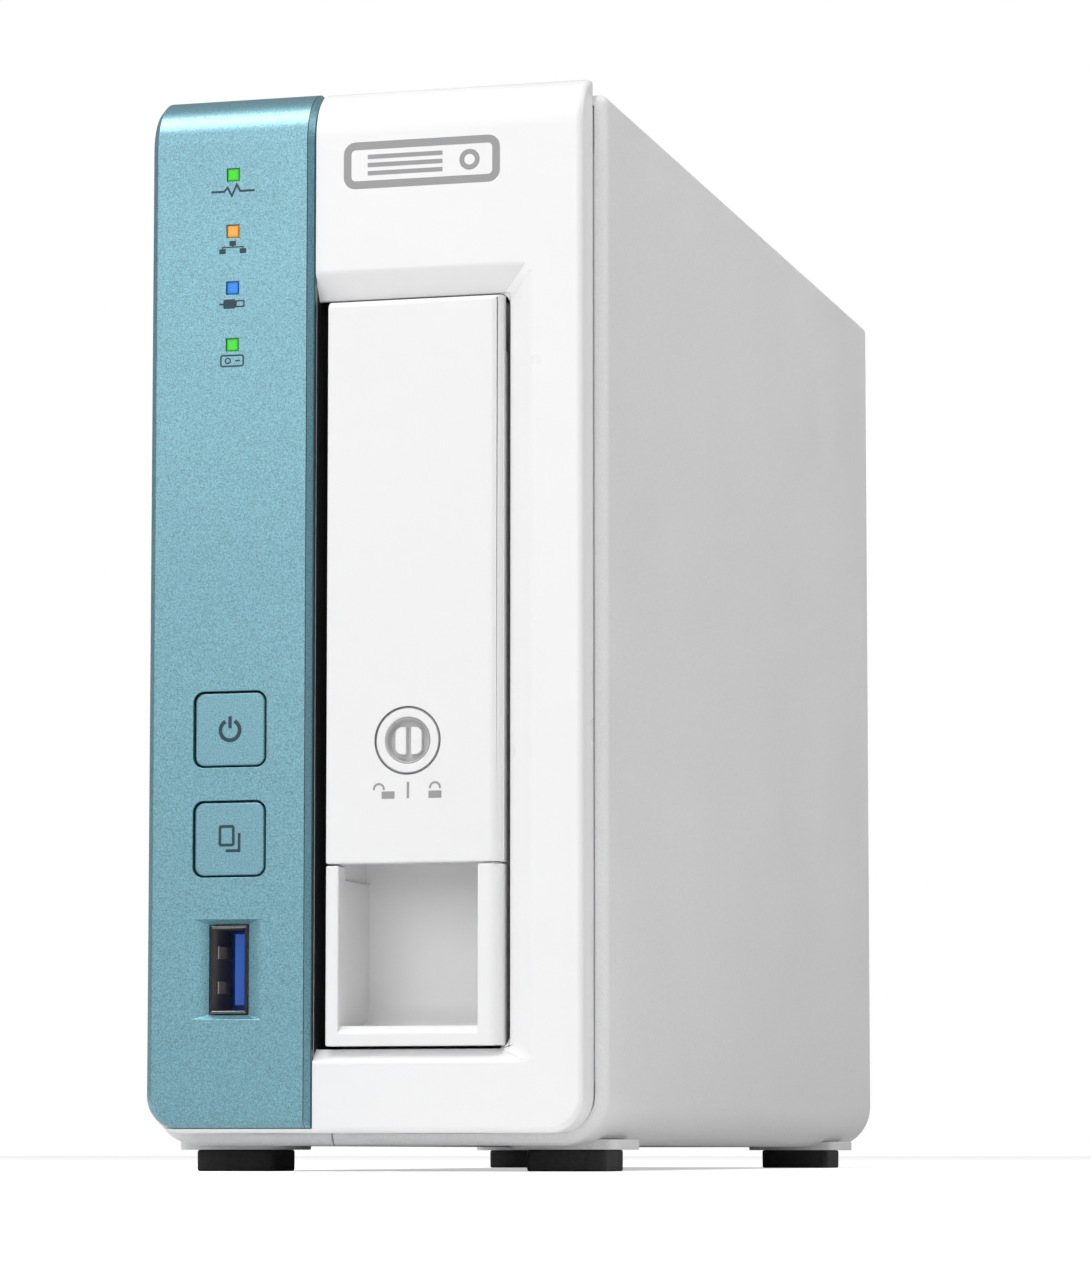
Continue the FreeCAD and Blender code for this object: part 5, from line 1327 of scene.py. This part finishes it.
def build_drive():
    """The drive with two pressed rings in its lid, and the cage and guides round it."""
    refined("drive_case", "drive_casting", cast_metal(), 0.5 * MM, segments=3)
    refined("drive_lid", "drive_cover", lid_metal(), 0.3 * MM, segments=3)
    low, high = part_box("drive_lid")
    relief = bmesh.new()
    spindle = (low.y + 0.62 * (high.y - low.y), (low.z + high.z) / 2)
    for radius, wide in ((40, 1.0), (14, 0.8)):
        ring = turned([((radius - wide) * MM, 0), ((radius - wide / 3) * MM, 0.16 * MM),
                       ((radius + wide / 3) * MM, 0.16 * MM), ((radius + wide) * MM, 0),
                       ((radius + wide) * MM, -0.3 * MM), ((radius - wide) * MM, -0.3 * MM),
                       ((radius - wide) * MM, 0)], 96)
        bmesh.ops.remove_doubles(ring, verts=ring.verts, dist=MERGE)
        turn = Matrix.Rotation(math.radians(-90), 4, "Z")
        bmesh.ops.transform(ring, matrix=turn, verts=ring.verts)
        bmesh.ops.translate(ring, verts=ring.verts, vec=(high.x, spindle[0], spindle[1]))
        joined(relief, ring)
    mesh = plain_mesh(relief, "drive_lid_rings")
    smooth(mesh)
    place_piece("drive_lid_rings", mesh, lid_metal(), "tray")
    for node in ("drive_cage", "upper_guide", "lower_guide"):
        finish = plated_steel() if node == "drive_cage" else white_nylon()
        refined(node, node + "_shape", finish, 0.15 * MM)


def build_screws():
    """The drive's screws look outwards from the tray; the others all look one way."""
    middle_z = (CAD_LOW.z + CAD_HIGH.z) / 2

    def outwards(middle):
        return "-z" if middle.z < middle_z else "+z"

    screws("cover_screws", "rear_screws", "+y")
    screws("fan_screws", "fan_fixings", "+y")
    screws("board_screws", "board_fixings", "+x")
    screws("cage_screws", "cage_fixings", "+z")
    screws("front_board_screws", "front_board_fixings", "+y")
    screws("drive_screws", "drive_fixings", outwards)


def soft_light(name, place, aim, wide, tall, power):
    """A rectangular light at a place, which looks at a point."""
    data = bpy.data.lights.new(name, "AREA")
    data.shape = "RECTANGLE"
    data.size = wide
    data.size_y = tall
    data.energy = power
    light = bpy.data.objects.new(name, data)
    light.location = place
    light.rotation_euler = (Vector(aim) - Vector(place)).to_track_quat("-Z", "Y").to_euler()
    bpy.context.scene.collection.objects.link(light)


def build_stage():
    """The floor, the white surroundings, the lights and the camera."""
    stage = look("stage")
    scene = bpy.context.scene
    floor = bpy.data.meshes.new("floor")
    reach = 2.6
    seen_lift = 0.5
    floor.from_pydata(
        [(-reach, -reach, 0), (reach, -reach, 0), (reach, reach, 0), (-reach, reach, 0)], [],
        [(0, 1, 2, 3)],
    )
    ground = bpy.data.objects.new("floor", floor)
    scene.collection.objects.link(ground)
    paint = surface("Floor", stage.floor, 0.7, 2 * MM, 0.01 * MM, mottle=0.004, patch=0.4)
    shader = paint.node_tree.nodes["Principled BSDF"]
    shader.inputs["Specular IOR Level"].default_value = 0
    shader.inputs["Emission Color"].default_value = (1, 1, 1, 1)
    seen = paint.node_tree.nodes.new("ShaderNodeLightPath").outputs["Is Camera Ray"]
    lift = math_node(paint.node_tree, "MULTIPLY", seen, seen_lift)
    paint.node_tree.links.new(lift, shader.inputs["Emission Strength"])
    floor.materials.append(paint)

    world = bpy.data.worlds.new("Surroundings")
    scene.world = world
    world.use_nodes = True
    backdrop = world.node_tree.nodes["Background"]
    backdrop.inputs["Color"].default_value = (1, 1, 1, 1)
    seen = world.node_tree.nodes.new("ShaderNodeLightPath").outputs["Is Camera Ray"]
    bright = math_node(world.node_tree, "MAXIMUM", seen, stage.fill)
    world.node_tree.links.new(bright, backdrop.inputs["Strength"])

    middle = (0, 0, CAD_HIGH.z / 2)
    soft_light("front_light", (-0.25, -1.6, 0.7), middle, wide=1.2, tall=1.0, power=stage.key)
    soft_light("side_light", (0.42, 0.0, 0.42), middle, wide=0.4, tall=0.25, power=stage.side)
    soft_light("overhead_panel", (-0.25, -0.45, 0.95), middle, wide=0.6, tall=0.4,
               power=stage.over)
    data = bpy.data.lights.new("top_light", "SUN")
    data.energy = stage.top
    data.angle = math.radians(60)
    light = bpy.data.objects.new("top_light", data)
    light.rotation_euler = Vector((-0.15, 0.38, -1)).to_track_quat("-Z", "Y").to_euler()
    scene.collection.objects.link(light)

    data = bpy.data.cameras.new("camera")
    data.sensor_width = 36
    data.lens = stage.lens
    data.shift_y = stage.rise
    data.clip_start = 0.01
    data.clip_end = 200
    camera = bpy.data.objects.new("camera", data)
    camera.location = stage.camera_place
    camera.rotation_euler = (math.radians(90) + stage.tilt, 0, stage.turn)
    scene.collection.objects.link(camera)
    scene.camera = camera
    scene.view_settings.view_transform = "Standard"


# ---------------------------------------------------------------- operators and panel

class BuildCasing(bpy.types.Operator):
    """Build the two grained covers of the casing"""

    bl_idname = "storage.build_casing"
    bl_label = "Casing"

    def execute(self, context):
        build_casing()
        return {"FINISHED"}


class BuildBezel(bpy.types.Operator):
    """Build the smooth front cap with its recess, and its printed sign"""

    bl_idname = "storage.build_bezel"
    bl_label = "Front cap"

    def execute(self, context):
        build_bezel()
        build_mark()
        return {"FINISHED"}


class BuildPlate(bpy.types.Operator):
    """Build the coloured plate with its buttons and printed signs"""

    bl_idname = "storage.build_plate"
    bl_label = "Plate and buttons"

    def execute(self, context):
        build_plate()
        return {"FINISHED"}


class BuildLamps(bpy.types.Operator):
    """Build the four lit lenses"""

    bl_idname = "storage.build_lamps"
    bl_label = "Lamps"

    def execute(self, context):
        build_lamps()
        return {"FINISHED"}


class BuildFrontPort(bpy.types.Operator):
    """Build the data port in the plate"""

    bl_idname = "storage.build_front_port"
    bl_label = "Front port"

    def execute(self, context):
        build_front_port()
        return {"FINISHED"}


class BuildTray(bpy.types.Operator):
    """Build the drive tray, its lever and the lock"""

    bl_idname = "storage.build_tray"
    bl_label = "Tray, lever and lock"

    def execute(self, context):
        build_tray()
        return {"FINISHED"}


class BuildFeet(bpy.types.Operator):
    """Build the four feet"""

    bl_idname = "storage.build_feet"
    bl_label = "Feet"

    def execute(self, context):
        build_feet()
        return {"FINISHED"}


class BuildRear(bpy.types.Operator):
    """Build the rear panel and its sockets"""

    bl_idname = "storage.build_rear"
    bl_label = "Rear panel and sockets"

    def execute(self, context):
        build_rear()
        return {"FINISHED"}


class BuildFan(bpy.types.Operator):
    """Build the fan with its rotor, motor and lead"""

    bl_idname = "storage.build_fan"
    bl_label = "Fan"

    def execute(self, context):
        build_fan()
        return {"FINISHED"}


class BuildElectronics(bpy.types.Operator):
    """Build the boards with their chips, switches and connectors"""

    bl_idname = "storage.build_electronics"
    bl_label = "Boards"

    def execute(self, context):
        build_electronics()
        return {"FINISHED"}


class BuildDrive(bpy.types.Operator):
    """Build the hard drive and the cage round it"""

    bl_idname = "storage.build_drive"
    bl_label = "Drive and cage"

    def execute(self, context):
        build_drive()
        return {"FINISHED"}


class BuildScrews(bpy.types.Operator):
    """Build the cross-head screws"""

    bl_idname = "storage.build_screws"
    bl_label = "Screws"

    def execute(self, context):
        build_screws()
        return {"FINISHED"}


class BuildStage(bpy.types.Operator):
    """Build the floor, the lights and the camera"""

    bl_idname = "storage.build_stage"
    bl_label = "Floor, lights and camera"

    def execute(self, context):
        build_stage()
        return {"FINISHED"}


SETTINGS = {
    "casing": CasingLook,
    "plate": PlateLook,
    "lamp": LampLook,
    "fan": FanLook,
    "stage": StageLook,
}
BUILDERS = (
    BuildCasing, BuildBezel, BuildPlate, BuildLamps, BuildFrontPort, BuildTray, BuildFeet,
    BuildRear, BuildFan, BuildElectronics, BuildDrive, BuildScrews, BuildStage,
)


class StoragePanel(bpy.types.Panel):
    """Lists the building steps and their settings"""

    bl_idname = "VIEW3D_PT_storage_box"
    bl_label = "Storage box"
    bl_space_type = "VIEW_3D"
    bl_region_type = "UI"
    bl_category = "Storage Box"

    def draw(self, context):
        for step in BUILDERS:
            self.layout.operator(step.bl_idname)
        for kind in SETTINGS:
            group = look(kind)
            box = self.layout.box()
            for name in group.bl_rna.properties.keys():
                if name not in {"rna_type", "name"}:
                    box.prop(group, name)


def register():
    for kind, group in SETTINGS.items():
        bpy.utils.register_class(group)
        setattr(bpy.types.Scene, "storage_" + kind, PointerProperty(type=group))
    for item in (*BUILDERS, StoragePanel):
        bpy.utils.register_class(item)


def unregister():
    for item in (StoragePanel, *reversed(BUILDERS)):
        bpy.utils.unregister_class(item)
    for kind, group in SETTINGS.items():
        delattr(bpy.types.Scene, "storage_" + kind)
        bpy.utils.unregister_class(group)


def main():
    """Builds every step."""
    register()
    for step in BUILDERS:
        family, action = step.bl_idname.split(".")
        getattr(getattr(bpy.ops, family), action)()


if __name__ == "__main__":
    main()
